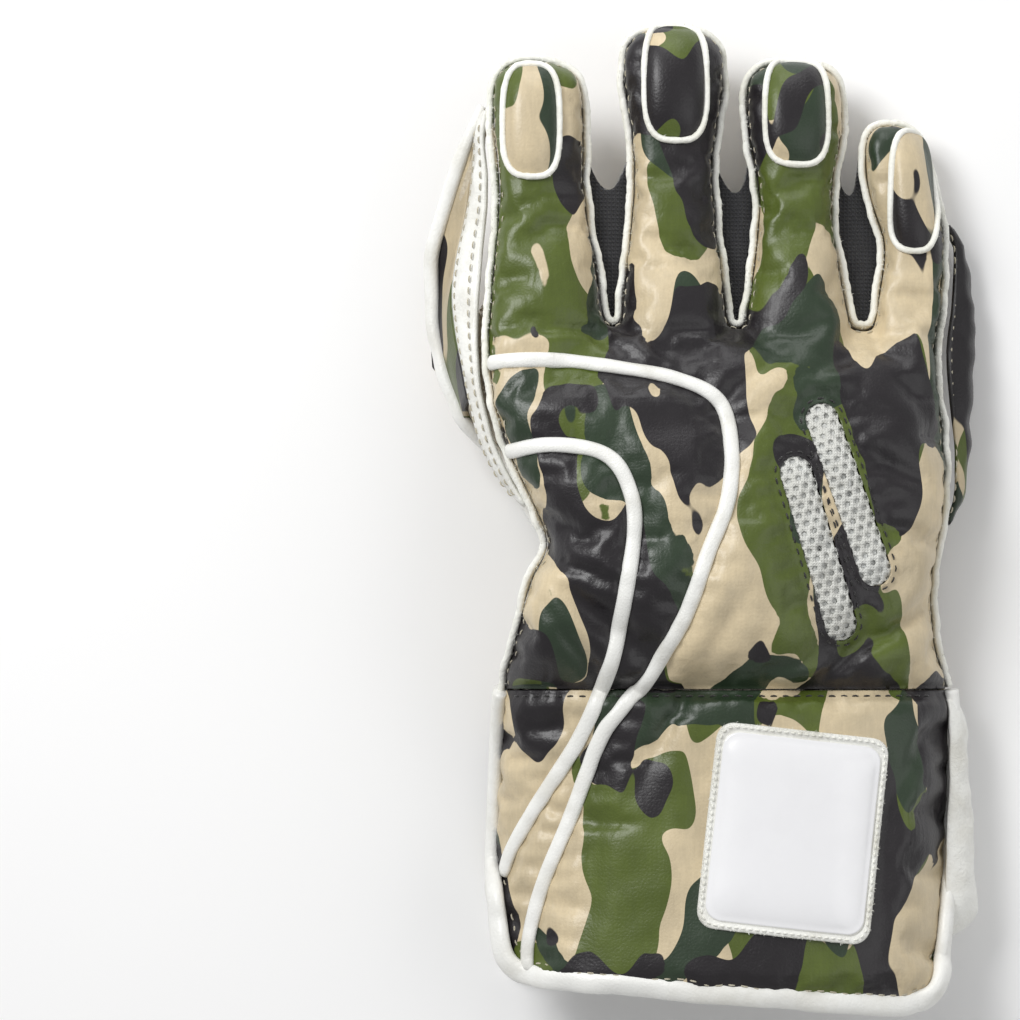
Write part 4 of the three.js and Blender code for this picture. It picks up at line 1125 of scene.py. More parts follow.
def pressedUnder(grid, clearance):
    points = grid.reshape(-1, 3).copy()
    for k, (x, y, z) in enumerate(points):
        hit = underPalm(x, y)
        if hit[0] is not None and hit[0].z - clearance < z:
            points[k, 2] = max(hit[0].z - clearance, thumb["floor"])
    return points.reshape(grid.shape)


def thumbGrid(shares, angles):
    grid = []
    for share in shares:
        centre, side, height, half = thumbFrame(share)
        taper = thumbTaper(share)
        line = []
        for angle in angles:
            c, s = math.cos(angle), math.sin(angle)
            place = centre + side * rounded(c, thumb["curve"]) * half * taper
            place[2] = height + rounded(s, thumb["curve"]) * thumb["thickness"] / 2 * taper
            wave = sum(depth * noise.noise(Vector(place / reach)) for depth, reach in thumb["waves"])
            bend = sum(depth * math.exp(-((share - at) / reach) ** 2) for at, reach, depth in thumb["bends"])
            place[2] += np.sign(s) * (wave - thumb["bendDepth"] * bend * abs(s))
            place[2] = max(place[2], thumb["lowest"])
            line.append(place)
        grid.append(line)
    return np.array(grid)


def sewnRoot(grid, shares):
    for row, share in zip(grid, shares):
        rise = 1 - float(smoothStep(share, thumb["rootFrom"], thumb["rootFull"]))
        for k, place in enumerate(row if rise > 0 else []):
            hit = underPalm(place[0], place[1])
            if hit[0] is None:
                continue
            if k < len(row) // 2:
                place[2] += (hit[0].z + thumb["rootHide"] - place[2]) * min(1, 2.5 * rise)
            else:
                place[2] += (hit[0].z - thumb["rootStep"] - place[2]) * rise


def thumbPiece(name, shares, angles, root=False):
    grid = pressedUnder(thumbGrid(shares, angles), thumb["pressed"])
    if root:
        sewnRoot(grid, shares)
    for _ in range(3):
        grid[1:-1, :, 2] = (grid[:-2, :, 2] + 2 * grid[1:-1, :, 2] + grid[2:, :, 2]) / 4
    obj = gridObject(name, grid)
    outwards(obj)
    points = pointsOf(obj)
    if np.einsum("ij,ij->i", points - points.mean(0), normalsOf(obj)).sum() < 0:
        obj.data.flip_normals()
    thicken(obj, thumb["wall"])
    return obj


upAngles = np.linspace(0.012, 0.988, thumb["around"] // 2) * np.pi
downAngles = upAngles + np.pi
allAngles = np.linspace(0, 2 * np.pi, thumb["around"] + 1)
tipShares = np.concatenate([
    np.linspace(thumb["collarEnd"] + thumb["seam"], thumb["taperFrom"], thumb["stallRings"]),
    thumb["taperFrom"] + (1 - thumb["taperFrom"]) * np.sin(np.linspace(0.06, 0.5, thumb["tipRings"]) * np.pi),
])
rootShares = np.linspace(thumb["rootFrom"], thumb["collarEnd"] - thumb["seam"], thumb["rootRings"])
thumbFacing = thumbPiece("thumb_facing_rubber", tipShares, upAngles)
thumbBack = thumbPiece("thumb_back_leather", tipShares, downAngles)
thumbCollar = thumbPiece("thumb_gusset_leather", rootShares, allAngles, True)
print("stage: thumb", flush=True)

# Strips beside the hand
strip = {"tuck": 0.07, "inward": 1.6, "drop": 9, "wall": 1.6, "out": 0.6, "bulge": 0.9, "stations": 70,
         "across": 14, "blendFrom": 0.8}
indexSideRows = table(
    "at reach drop", (0.5, 1.6, 0.5), (0.68, 3.2, 0.7), (0.86, 3.6, 0.8), (1, 6, 0.95), (1.15, 7.4, 1),
    (1.35, 5.6, 0.9), (1.62, 2, 0.6), (1.7, 1.4, 0.5),
)
littleSideRows = table(
    "at reach drop", (0.46, 1.2, 0.9), (0.7, 4.6, 1.25), (0.9, 8, 1.3), (1.05, 7.4, 1.25), (1.2, 4.4, 1.2),
    (1.36, 1.4, 1),
)
indexProfile = table("at out down", (0, 0, 0.06), (0.5, 0.68, 0.42), (1, 1, 1))
littleProfile = table("at out down", (0, 0, 0.06), (0.3, 0.72, 0.24), (0.62, 1, 0.62), (1, 0.5, 1))


def stripPoint(rows, profile, side, finger, share, across):
    station = rows["at"][0] + (rows["at"][-1] - rows["at"][0]) * share
    y = float(yAt(station))
    centre, half = fingerEdges(finger, (y - crotchY) / finger["length"])
    handX = handEdge(min(station, 1), "left" if side < 0 else "right")
    blend = float(smoothStep(station, strip["blendFrom"], 1))
    edge = handX * (1 - blend) + (centre + side * half) * blend + side * strip["out"]
    tuck = min(1, min(share, 1 - share) / strip["tuck"] + 0.02) ** 0.5
    reach = float(column(rows, station, "reach")) * float(column(profile, across, "out")) * tuck
    reach -= strip["inward"] * (1 - tuck)
    drop = strip["drop"] * float(column(rows, station, "drop")) * float(column(profile, across, "down"))
    return np.array([edge + side * reach, y, float(seamAt(edge, y)) - drop])


def stripPiece(name, rows, profile, side, finger, seed):
    grid = []
    for share in np.linspace(0, 1, strip["stations"]):
        line = []
        for across in np.linspace(0, 1, strip["across"]):
            place = stripPoint(rows, profile, side, finger, share, across)
            bulge = strip["bulge"] * math.sin(math.pi * across)
            bulge *= noise.noise(Vector((share * 14, across * 2, seed)))
            place[0] += side * bulge
            line.append(place)
        grid.append(line)
    grid = np.array(grid) + [side * strip["wall"], 0, 0]
    return gridObject(name, grid, strip["wall"], (side, 0, 0))


indexStrip = (indexSideRows, indexProfile, -1, fingers["index"])
littleStrip = (littleSideRows, littleProfile, 1, fingers["little"])
indexSide = stripPiece("index_side_leather", *indexStrip, 3)
littleSide = stripPiece("little_side_leather", *littleStrip, 9)

# Catching web between the index finger's strip and the thumb
web = {"wall": 1.7, "bulge": 6, "ripple": 0.7, "rows": 44, "cols": 26, "apart": 0.4, "stripFrom": 0.25,
       "thumbFrom": 0.66, "thumbTo": 0.9, "bindingWidth": 5.4, "bindingHeight": 4.4, "ends": 0.35,
       "head": (0, 0.2, 0.4), "edge": ((0.93, 0.5), (0.82, 0.54), (0.68, 0.56), (0.54, 0.58), (0.4, 0.6),
                                       (0.26, 0.62), (0.12, 0.66), (0.0, 0.7)),
       "alongThumb": ((0.6, 3), (0.54, 1.5), (0.48, 0), (0.43, 0), (0.39, 0))}


def webPoint(share, across):
    along = web["stripFrom"] + (1 - web["stripFrom"]) * share
    top = stripPoint(*indexStrip, along, 1.0)
    top += [-0.2, 0, -strip["wall"]]
    foot = thumbEdge(web["thumbFrom"] + (web["thumbTo"] - web["thumbFrom"]) * share, 0.6, 3)
    place = top * (1 - across) + foot * across
    place[0] -= (0.5 + 0.5 * share) * web["bulge"] * math.sin(math.pi * across)
    place[0] += web["ripple"] * noise.noise(Vector((share * 6, across * 3, 5))) * math.sin(math.pi * across)
    return place


webPlaces = np.array([[webPoint(share, across) for across in np.linspace(0, 1, web["cols"])]
                      for share in np.linspace(0, 1, web["rows"])])
webFront = webPlaces + [web["apart"] + web["wall"], 0, 0]
webBack = gridObject("web_back_leather", webPlaces - [web["wall"], 0, 0], web["wall"], (-1, 0, 0.3))
webFacing = gridObject("web_facing_rubber", webFront, web["wall"], (1, 0, -0.3))


def webBindingPiece():
    route = [webPoint(1, across) + [-1.6, 1.6 - 3 * across, 0.6] for across in web["head"]]
    route += [webPoint(share, across) + [-web["wall"] - 0.9, 0, 0.5] for share, across in web["edge"]]
    route += [thumbEdge(share, 1.6, up) for share, up in web["alongThumb"]]
    path = smoothPath(curvePath(route, 1.2), 3)
    out = np.cross(np.gradient(path, axis=0), [0.0, 0.0, 1.0])
    n = np.arange(len(path))
    taper = np.clip(np.minimum(n + 2, len(path) + 1 - n) / 16, 0, 1) ** 0.6
    profile = roundProfile(web["bindingWidth"], web["bindingHeight"], power=binding["squareness"])
    return sweep("web_binding_leather", path, out, profile, scale=web["ends"] + (1 - web["ends"]) * taper)


webBinding = webBindingPiece()

# White gusset beside the cuff
cuffSide = {"from": -0.78, "to": -0.03, "inset": 1.4, "bend": 0.86, "height": 21, "wall": 1.6,
            "rows": 90, "cols": 22, "wave": 1.6, "fineWave": 0.8,
            "shares": (0, 0.012, 0.035, 0.07, 0.12, 0.18, 0.3, 0.5, 0.75, 0.92, 1),
            "bulges": (0.4, 3.4, 5.8, 7.8, 9.2, 9.8, 9.4, 7.8, 6.0, 4.6, 2.6)}


def cuffGussetPiece():
    flat = math.cos(math.pi * cuffSide["bend"] / 2)
    grid = []
    for share in np.linspace(0, 1, cuffSide["rows"]) ** 1.25:
        station = cuffSide["from"] + (cuffSide["to"] - cuffSide["from"]) * share
        y = float(yAt(station))
        edge = handEdge(station, "right") - glove["edgeInset"] - cuffSide["inset"]
        bulge = float(np.interp(share, cuffSide["shares"], cuffSide["bulges"]))
        line = []
        for across in np.linspace(0, 1, cuffSide["cols"]):
            angle = math.pi * (across - 0.5) * cuffSide["bend"]
            wave = (cuffSide["wave"] * noise.noise(Vector((share * 5, across * 2, 4)))
                    + cuffSide["fineWave"] * noise.noise(Vector((share * 13, across * 4, 2))))
            wave *= min(bulge / 6, 1)
            reach = bulge * (math.cos(angle) - flat) / (1 - flat) + wave * math.cos(angle)
            rise = cuffSide["height"] / 2 * math.sin(angle) * (0.5 + 0.05 * bulge)
            line.append([edge + reach, y, float(seamAt(edge, y)) + rise])
        grid.append(line)
    places = np.array(grid) + [cuffSide["wall"], 0, 0]
    return gridObject("cuff_gusset_leather", places, cuffSide["wall"], (1, 0, 0))


cuffGusset = cuffGussetPiece()
print("stage: strips, web and gussets", flush=True)

# Stitches as short capsules along a line
stitch = {"length": 2.5, "gap": 1.3, "radius": 0.27, "lift": 0.1, "start": 0.4, "around": 5,
          "marks": (0, 0.14, 0.5, 0.86, 1), "sizes": (0.25, 0.9, 1.05, 0.9, 0.25),
          "lifts": (-1.6, -0.1, 0.5, -0.1, -1.6)}
# Length, gap and radius of each thread's stitches
threads = {"seam": (2.0, 1.6, 0.2), "dark": (2.3, 1.2, 0.26), "cuff": (2.4, 1.3, 0.26),
           "patch": (1.5, 0.5, 0.3), "strip": (2.2, 1.2, 0.25)}


def stitches(name, runs, length=stitch["length"], gap=stitch["gap"], radius=stitch["radius"]):
    sizes = radius * np.array(stitch["sizes"])
    lifts = radius * np.array(stitch["lifts"]) + stitch["lift"]
    around = stitch["around"]
    turns = [2 * math.pi * k / around for k in range(around)]
    faces = ringFaces(len(sizes), around)
    blocks = []
    for places, normals in runs:
        steps = lengthsOf(places)
        at = stitch["start"]
        while at + length < steps[-1]:
            marks = at + length * np.array(stitch["marks"])
            line = pathAt(places, steps, marks)
            up = unit(pathAt(normals, steps, marks[2]))
            across = unit(np.cross(unit(line[-1] - line[0]), up))
            rings = [place + up * (rise + size * math.sin(turn)) + across * size * math.cos(turn)
                     for place, size, rise in zip(line, sizes, lifts) for turn in turns]
            blocks.append((np.array(rings), faces))
            at += length + gap
    return joined(name, blocks)


def planRun(path, surface=backTop, side=1):
    places, normals = surface.along(np.asarray(path)[:, :2], side)
    return smoothPath(places, 3), normals


def loopRun(path, surface=backTop):
    return planRun(np.vstack([path, path[:1]]), surface)


# Where the seams run: insets, spans and rises in mm
seams = {"weltInset": 1.9, "weltRise": 4.6, "wristInset": 1.9, "wristSpan": (-62, 61), "ventRadius": 6.3,
         "rimInset": 4.0, "patchInset": 1.1, "collarFrom": 0.05, "collarInset": 0.03}


def nearRun(line, surface, rounds):
    found = [surface.tree.find_nearest(Vector(place)) for place in line]
    return (smoothPath([np.array(hit[0]) for hit in found], rounds),
            smoothPath([np.array(hit[1]) for hit in found], 6))


def weltRun():
    line = weltLine - weltOut * (welt["out"] + seams["weltInset"])
    line[:, 2] = seamAt(line[:, 0], line[:, 1]) + seams["weltRise"]
    return nearRun(line, backTop, 4)


def rimRun(rim, surface):
    path = rimPath(rim)
    inwards = unit(np.array([0.0, 50.0, path[:, 2].mean()]) - path)
    return nearRun(path + inwards * seams["rimInset"], surface, 6)


seamStitches = stitches("back_seam_stitches", [weltRun()], *threads["seam"])
wristRun = planRun([(x, wristY - seams["wristInset"]) for x in np.arange(*seams["wristSpan"], 1.0)])
ventRuns = [loopRun(pillPath(name, seams["ventRadius"])) for name in vents]
darkStitches = stitches("back_dark_stitches", [wristRun] + ventRuns, *threads["dark"])
cuffStitches = stitches("cuff_back_stitches", [rimRun(cuffBackRim, backTop)], *threads["cuff"])
cuffPalmStitches = stitches("cuff_palm_stitches", [rimRun(cuffPalmRim, palmUnder)], *threads["cuff"])
collarSurface = Surface(thumbCollar)
collarShares = (seams["collarFrom"], thumb["collarEnd"] - seams["collarInset"])
collarLines = [thumbGrid([share], downAngles[4:-4])[0] for share in collarShares]
collarStitches = stitches("thumb_gusset_stitches", [planRun(line, collarSurface, -1) for line in collarLines])

# Black overlock stitching below the raw lower edge of the palm's rubber
overlock = {"step": 1.25, "near": 1.2, "far": 4.4, "length": 2.6, "gap": 2, "radius": 0.28, "inset": 5}
palmStation = float(stationAt(glove["palmStart"]))
palmFrom = handEdge(palmStation, "left") + overlock["inset"]
palmTo = handEdge(palmStation, "right") - overlock["inset"]
marks = np.arange(palmFrom, palmTo, overlock["step"])
zigzag = [(x, glove["palmStart"] - overlock["near" if k % 2 else "far"]) for k, x in enumerate(marks)]
overlockRuns = [planRun(np.linspace(a, b, 6), palmUnder, -1) for a, b in zip(zigzag[:-1], zigzag[1:])]
overlockStitches = stitches("palm_overlock_stitches", overlockRuns, overlock["length"], overlock["gap"],
                            overlock["radius"])
patchSurface = Surface(patchObj)
patchRun = loopRun(patchOutline(-seams["patchInset"]), patchSurface)
patchStitches = stitches("patch_stitches", [patchRun], *threads["patch"])


def stripRun(rows, profile, sign, finger, across, lift):
    line, deeper = (np.array([stripPoint(rows, profile, sign, finger, share, depth)
                              for share in np.linspace(0.03, 0.97, 80)]) for depth in (across, across + 0.05))
    normals = unit(np.cross(np.gradient(line, axis=0), deeper - line))
    if normals[:, 0].sum() * sign < 0:
        normals = -normals
    return line + normals * lift, normals


indexRuns = [stripRun(*indexStrip, across, strip["wall"]) for across in (0.3, 0.84)]
indexStitches = stitches("index_side_stitches", indexRuns, *threads["strip"])
littleStitches = stitches("little_side_stitches", [stripRun(*littleStrip, 0.12, 0.1)], *threads["strip"])
print("stage: stitches", flush=True)

# Pimples of the rubber facings, as small frustums
pimple = {"pitch": 2.25, "radius": 0.78, "top": 0.42, "height": 0.55, "foot": 0.15, "sides": 5,
          "rowShare": 0.866, "palmSpan": 210, "palmFrom": 3, "columns": 36, "steepest": 0.3, "lowest": 0.02,
          "thumbPitch": 2.9, "thumbSink": -0.1, "thumbScale": 1.15, "thumbPressed": 1.0,
          "webPitch": 2.3, "webLift": 0.05}


def pimpleMesh(name, spots, scale=1.0):
    sides = pimple["sides"]
    angle = 2 * np.pi * np.arange(sides) / sides
    blocks = []
    cells = [(k, (k + 1) % sides, sides + (k + 1) % sides, sides + k) for k in range(sides)]
    cells.append(tuple(sides + k for k in range(sides)))
    for place, normal in spots:
        across = unit(np.cross(normal, [0.0, 1.0, 0.02]))
        along = np.cross(normal, across)
        ring = np.cos(angle)[:, None] * across + np.sin(angle)[:, None] * along
        low = place - normal * pimple["foot"] + scale * pimple["radius"] * ring
        high = place + normal * pimple["height"] * scale + scale * pimple["top"] * ring
        blocks.append((np.vstack([low, high]), cells))
    return joined(name, blocks)


def palmSpots():
    spots = []
    pitch = pimple["pitch"]
    rowPitch = pitch * pimple["rowShare"]
    for row in range(int(pimple["palmSpan"] / rowPitch)):
        y = glove["palmStart"] + pimple["palmFrom"] + row * rowPitch
        for col in range(-pimple["columns"], pimple["columns"]):
            hit = underPalm((col + 0.5 * (row % 2)) * pitch, y)
            if hit[0] is None or abs(hit[1].z) < pimple["steepest"]:
                continue
            normal = np.array(hit[1]) if hit[1].z < 0 else -np.array(hit[1])
            spot = np.array(hit[0])
            spot[2] = max(spot[2], pimple["lowest"] - normal[2] * pimple["height"])
            spots.append((spot, normal))
    return spots


def gridSpots(grid, outward, spacing, lift=0.0):
    rows, cols = grid.shape[:2]
    spots = []
    count = int(lengthsOf(grid[:, cols // 2])[-1] / (spacing * pimple["rowShare"]))
    for i in range(1, count):
        u = i / count * (rows - 1)
        a, f = int(u), u - int(u)
        nextLine = grid[min(a + 1, rows - 1)]
        line = grid[a] * (1 - f) + nextLine * f
        steps = lengthsOf(line)
        marks = np.arange(spacing * (0.7 + 0.5 * (i % 2)), steps[-1] - spacing * 0.6, spacing)
        ahead = unit(nextLine[cols // 2] - grid[a][cols // 2])
        for mark in marks:
            place, near = pathAt(line, steps, [mark, mark + 0.5])
            normal = np.cross(near - place, ahead)
            if np.linalg.norm(normal) < 1e-6:
                continue
            normal = unit(normal)
            if np.dot(normal, outward) < 0:
                normal = -normal
            spots.append((place + normal * lift, normal))
    return spots


palmPimples = pimpleMesh("palm_pimples", palmSpots())
facingGrid = pressedUnder(thumbGrid(tipShares[:-2], upAngles), pimple["thumbPressed"])
thumbSpots = gridSpots(facingGrid, (0, 0, 1), pimple["thumbPitch"], pimple["thumbSink"])
thumbPimples = pimpleMesh("thumb_pimples", thumbSpots, pimple["thumbScale"])
webSpots = gridSpots(webFront + [pimple["webLift"], 0, 0], (1, 0, 0), pimple["webPitch"])
webPimples = pimpleMesh("web_pimples", webSpots)
print("stage: pimples", len(palmPimples.data.polygons), len(thumbPimples.data.polygons), flush=True)

# Loose fibres of the raw edges
fuzz = {"length": 1.1, "width": 0.09, "seed": 11, "welt": 5200, "patch": 900, "nails": 1500, "palm": 1500}


def fuzzPiece(name, lines, count, upward=1):
    rng = random.Random(fuzz["seed"])
    blocks = []
    for _ in range(count):
        line, spread, rise = lines[rng.randrange(len(lines))]
        k = rng.randrange(len(line) - 1)
        t = rng.random()
        place = line[k] * (1 - t) + line[k + 1] * t
        place = place + np.array([rng.uniform(-1, 1) * spread, rng.uniform(-1, 1) * spread, rise])
        lean = np.array([rng.uniform(-1, 1), rng.uniform(-1, 1), rng.uniform(0.1, 1.0) * upward])
        lean *= fuzz["length"] * rng.uniform(0.4, 1.1) / np.linalg.norm(lean)
        turn = np.array([rng.uniform(-1, 1), rng.uniform(-1, 1), 0.0])
        turn *= fuzz["width"] / (np.linalg.norm(turn) + 1e-9)
        middle = place + lean * 0.55 + turn * 2
        blocks.append((np.array([place - turn, place + turn, middle + turn * 0.6, middle - turn * 0.6,
                                 place + lean]), [(0, 1, 2, 3), (3, 2, 4)]))
    return joined(name, blocks)


weltTop = weltLine + np.array([0, 0, welt["height"] / 2 - 0.3])
fibres = fuzzPiece("edge_welt_fibres", [(weltTop, 0.9, 0.0)], fuzz["welt"])
patchEdge = loopRun(patchOutline(-0.4), patchSurface)[0]
patchFibres = fuzzPiece("patch_fibres", [(patchEdge, 0.35, 0.0)], fuzz["patch"])
nailFibres = fuzzPiece("nail_piping_fibres", [(ring, 0.55, 0.0) for ring in nailRings], fuzz["nails"])
palmEdge = planRun([(x, glove["palmStart"]) for x in np.arange(palmFrom, palmTo, 1.0)], palmUnder, -1)[0]
palmFibres = fuzzPiece("palm_edge_fibres", [(palmEdge, 0.6, -0.1)], fuzz["palm"], -1)
print("stage: fibres", flush=True)


# Shared shader groups: each puts out colours, masks or heights
def makeGroup(name, inputs, outputs):
    tree = bpy.data.node_groups.new(name, "ShaderNodeTree")
    kinds = {"f": "NodeSocketFloat", "c": "NodeSocketColor", "v": "NodeSocketVector"}
    for label, kind, value in inputs:
        socket = tree.interface.new_socket(label, in_out="INPUT", socket_type=kinds[kind])
        socket.default_value = value
    for label, kind in outputs:
        tree.interface.new_socket(label, in_out="OUTPUT", socket_type=kinds[kind])
    return tree, tree.nodes.new("NodeGroupInput"), tree.nodes.new("NodeGroupOutput")


def feed(tree, value, socket):
    if isinstance(value, bpy.types.NodeSocket):
        tree.links.new(value, socket)
    else:
        socket.default_value = value


def mathNode(tree, operation, *values, kind="ShaderNodeMath"):
    node = tree.nodes.new(kind)
    node.operation = operation
    for socket, value in zip(node.inputs, values):
        feed(tree, value, socket)
    return node.outputs[0]


def vectorNode(tree, operation, *values):
    return mathNode(tree, operation, *values, kind="ShaderNodeVectorMath")


def mixColors(tree, factor, a, b, blend="MIX"):
    node = tree.nodes.new("ShaderNodeMix")
    node.data_type = "RGBA"
    node.blend_type = blend
    for k, value in ((0, factor), (6, a), (7, b)):
        feed(tree, value, node.inputs[k])
    return node.outputs[2]


def noiseNode(tree, vector, scale, detail=2.0, roughness=0.5, distortion=0.0):
    node = tree.nodes.new("ShaderNodeTexNoise")
    given = {"Vector": vector, "Scale": scale, "Detail": detail, "Roughness": roughness,
             "Distortion": distortion}
    for label, value in given.items():
        feed(tree, value, node.inputs[label])
    return node


def edgeStep(tree, value, low, high):
    node = tree.nodes.new("ShaderNodeMapRange")
    node.interpolation_type = "SMOOTHSTEP"
    tree.links.new(value, node.inputs["Value"])
    node.inputs["From Min"].default_value = low
    node.inputs["From Max"].default_value = high
    return node.outputs["Result"]


def placeNode(tree, scale=(1, 1, 1), offset=None):
    coordinates = tree.nodes.new("ShaderNodeTexCoord")
    mapping = tree.nodes.new("ShaderNodeMapping")
    mapping.inputs["Scale"].default_value = scale
    tree.links.new(coordinates.outputs["Object"], mapping.inputs["Vector"])
    if offset is not None:
        tree.links.new(offset, mapping.inputs["Location"])
    return mapping.outputs["Vector"]


def srgb(*values):
    shares = [value / 255 for value in values]
    return tuple(((v + 0.055) / 1.055) ** 2.4 if v > 0.04045 else v / 12.92 for v in shares) + (1,)


def grey(value):
    return (value, value, value, 1)


camo = {"cream": srgb(208, 192, 160), "olive": srgb(82, 96, 33), "green": srgb(40, 56, 38),
        "charcoal": srgb(28, 24, 28), "scale": 35.0, "warp": 0.034, "stretch": (1.25, 0.66, 0.9),
        "cuts": {"Olive": 0.51, "Green": 0.575, "Charcoal": 0.545}, "soft": 0.0018, "darkRange": 0.1}


def camoGroup():
    tree, given, out = makeGroup("woodland_print", [
        ("Cream", "c", camo["cream"]), ("Olive", "c", camo["olive"]), ("Green", "c", camo["green"]),
        ("Charcoal", "c", camo["charcoal"]), ("Scale", "f", camo["scale"]), ("Dark Share", "f", 0.5),
        ("Place", "v", (0, 0, 0)),
    ], [("Color", "c"), ("Dark", "f")])
    vector = placeNode(tree, camo["stretch"], given.outputs["Place"])
    warp = noiseNode(tree, vector, mathNode(tree, "MULTIPLY", given.outputs["Scale"], 1.1), 1.0, 0.4)
    centred = vectorNode(tree, "SUBTRACT", warp.outputs["Color"], (0.5, 0.5, 0.5))
    moved = vectorNode(tree, "MULTIPLY_ADD", centred, (camo["warp"],) * 3, vector)
    color = given.outputs["Cream"]
    for k, (label, cut) in enumerate(camo["cuts"].items()):
        shifted = vectorNode(tree, "ADD", moved, (0.31 * k + 0.07, 0.17 * k, 0.4 * k))
        value = noiseNode(tree, shifted, given.outputs["Scale"], 0.6, 0.35).outputs["Fac"]
        if label == "Charcoal":
            darker = mathNode(tree, "MULTIPLY", given.outputs["Dark Share"], camo["darkRange"])
            value = mathNode(tree, "ADD", value, darker)
            value = mathNode(tree, "SUBTRACT", value, camo["darkRange"] / 2)
        mask = edgeStep(tree, value, cut - camo["soft"], cut + camo["soft"])
        color = mixColors(tree, mask, color, given.outputs[label])
    tree.links.new(color, out.inputs["Color"])
    tree.links.new(mask, out.inputs["Dark"])
    return tree


def grainGroup():
    tree, given, out = makeGroup("leather_grain", [
        ("Scale", "f", 900.0), ("Creases", "f", 0.4),
    ], [("Height", "f"), ("Patches", "f"), ("Streaks", "f")])
    vector = placeNode(tree)
    cells = tree.nodes.new("ShaderNodeTexVoronoi")
    cells.feature = "F1"
    tree.links.new(vector, cells.inputs["Vector"])
    tree.links.new(given.outputs["Scale"], cells.inputs["Scale"])
    pebble = edgeStep(tree, cells.outputs["Distance"], 0.75, 0.3)
    crease = noiseNode(tree, vector, mathNode(tree, "MULTIPLY", given.outputs["Scale"], 0.14), 5.0, 0.6, 0.8)
    fold = mathNode(tree, "ABSOLUTE", mathNode(tree, "SUBTRACT", crease.outputs["Fac"], 0.5))
    fold = edgeStep(tree, fold, 0.0, 0.05)
    height = mathNode(tree, "ADD", mathNode(tree, "MULTIPLY", pebble, 0.5),
                      mathNode(tree, "MULTIPLY", fold, given.outputs["Creases"]))
    patches = noiseNode(tree, vector, 70.0, 4.0, 0.6)
    long = placeNode(tree, (9.0, 1.0, 9.0))
    streaks = noiseNode(tree, long, 120.0, 3.0, 0.6)
    tree.links.new(height, out.inputs["Height"])
    tree.links.new(patches.outputs["Fac"], out.inputs["Patches"])
    tree.links.new(streaks.outputs["Fac"], out.inputs["Streaks"])
    return tree


def weaveGroup():
    tree, given, out = makeGroup("cloth_weave", [("Scale", "f", 1500.0)], [("Height", "f"), ("Fibres", "f")])
    coordinates = placeNode(tree)
    separate = tree.nodes.new("ShaderNodeSeparateXYZ")
    tree.links.new(coordinates, separate.inputs[0])
    waves = []
    for axis in ("X", "Y"):
        turned = mathNode(tree, "MULTIPLY", separate.outputs[axis], given.outputs["Scale"])
        waves.append(mathNode(tree, "SINE", mathNode(tree, "MULTIPLY", turned, 3.0)))
    height = mathNode(tree, "MAXIMUM", waves[0], waves[1])
    fibres = noiseNode(tree, coordinates, mathNode(tree, "MULTIPLY", given.outputs["Scale"], 1.5), 3.0, 0.7)
    tree.links.new(mathNode(tree, "ADD", height, mathNode(tree, "MULTIPLY", fibres.outputs["Fac"], 0.8)),
                   out.inputs["Height"])
    tree.links.new(fibres.outputs["Fac"], out.inputs["Fibres"])
    return tree


groups = {"camo": camoGroup(), "grain": grainGroup(), "weave": weaveGroup()}


def place(tree, kind, **values):
    node = tree.nodes.new("ShaderNodeGroup")
    node.node_tree = groups[kind]
    for label, value in values.items():
        node.inputs[label.replace("_", " ")].default_value = value
    return node


def material(name, roughness, **values):
    made = bpy.data.materials.new(name)
    made.use_nodes = True
    shader = made.node_tree.nodes["Principled BSDF"]
    shader.inputs["Roughness"].default_value = roughness
    for label, value in values.items():
        shader.inputs[label.replace("_", " ")].default_value = value
    return made, made.node_tree, shader


def bump(tree, shader, height, strength, distance):
    node = tree.nodes.new("ShaderNodeBump")
    node.inputs["Strength"].default_value = strength
    node.inputs["Distance"].default_value = distance
    tree.links.new(height, node.inputs["Height"])
    tree.links.new(node.outputs["Normal"], shader.inputs["Normal"])


leather = {"roughness": 0.42, "coat": 0.18, "coatRoughness": 0.28, "specular": 0.45, "grainScale": 1300.0,
           "creases": 0.35, "weaveScale": 1700.0, "grainShare": 0.7, "weaveShare": 0.08, "bump": 0.35,
           "bumpDistance": 0.00022}


def printedLeather(name, spot, dark=0.5, darken=1.0):
    made, tree, shader = material(name, leather["roughness"], Coat_Weight=leather["coat"],
                                  Coat_Roughness=leather["coatRoughness"],
                                  Specular_IOR_Level=leather["specular"])
    printed = place(tree, "camo", Place=spot, Dark_Share=dark)
    grain = place(tree, "grain", Scale=leather["grainScale"], Creases=leather["creases"])
    weave = place(tree, "weave", Scale=leather["weaveScale"])
    shade = mixColors(tree, 1.0, printed.outputs["Color"], grey(darken), "MULTIPLY")
    patches = edgeStep(tree, grain.outputs["Patches"], 0.35, 0.75)
    worn = mixColors(tree, patches, grey(0.86), (1.08, 1.07, 1.05, 1))
    streaks = edgeStep(tree, grain.outputs["Streaks"], 0.3, 0.7)
    streaked = mixColors(tree, streaks, grey(0.96), grey(1.03))
    color = mixColors(tree, 1.0, mixColors(tree, 1.0, shade, worn, "MULTIPLY"), streaked, "MULTIPLY")
    tree.links.new(color, shader.inputs["Base Color"])
    rough = mathNode(tree, "MULTIPLY_ADD", grain.outputs["Patches"], 0.26, 0.3)
    tree.links.new(rough, shader.inputs["Roughness"])
    grainHeight = mathNode(tree, "MULTIPLY", grain.outputs["Height"], leather["grainShare"])
    weaveHeight = mathNode(tree, "MULTIPLY", weave.outputs["Height"], leather["weaveShare"])
    height = mathNode(tree, "ADD", grainHeight, weaveHeight)
    bump(tree, shader, height, leather["bump"], leather["bumpDistance"])
    return made


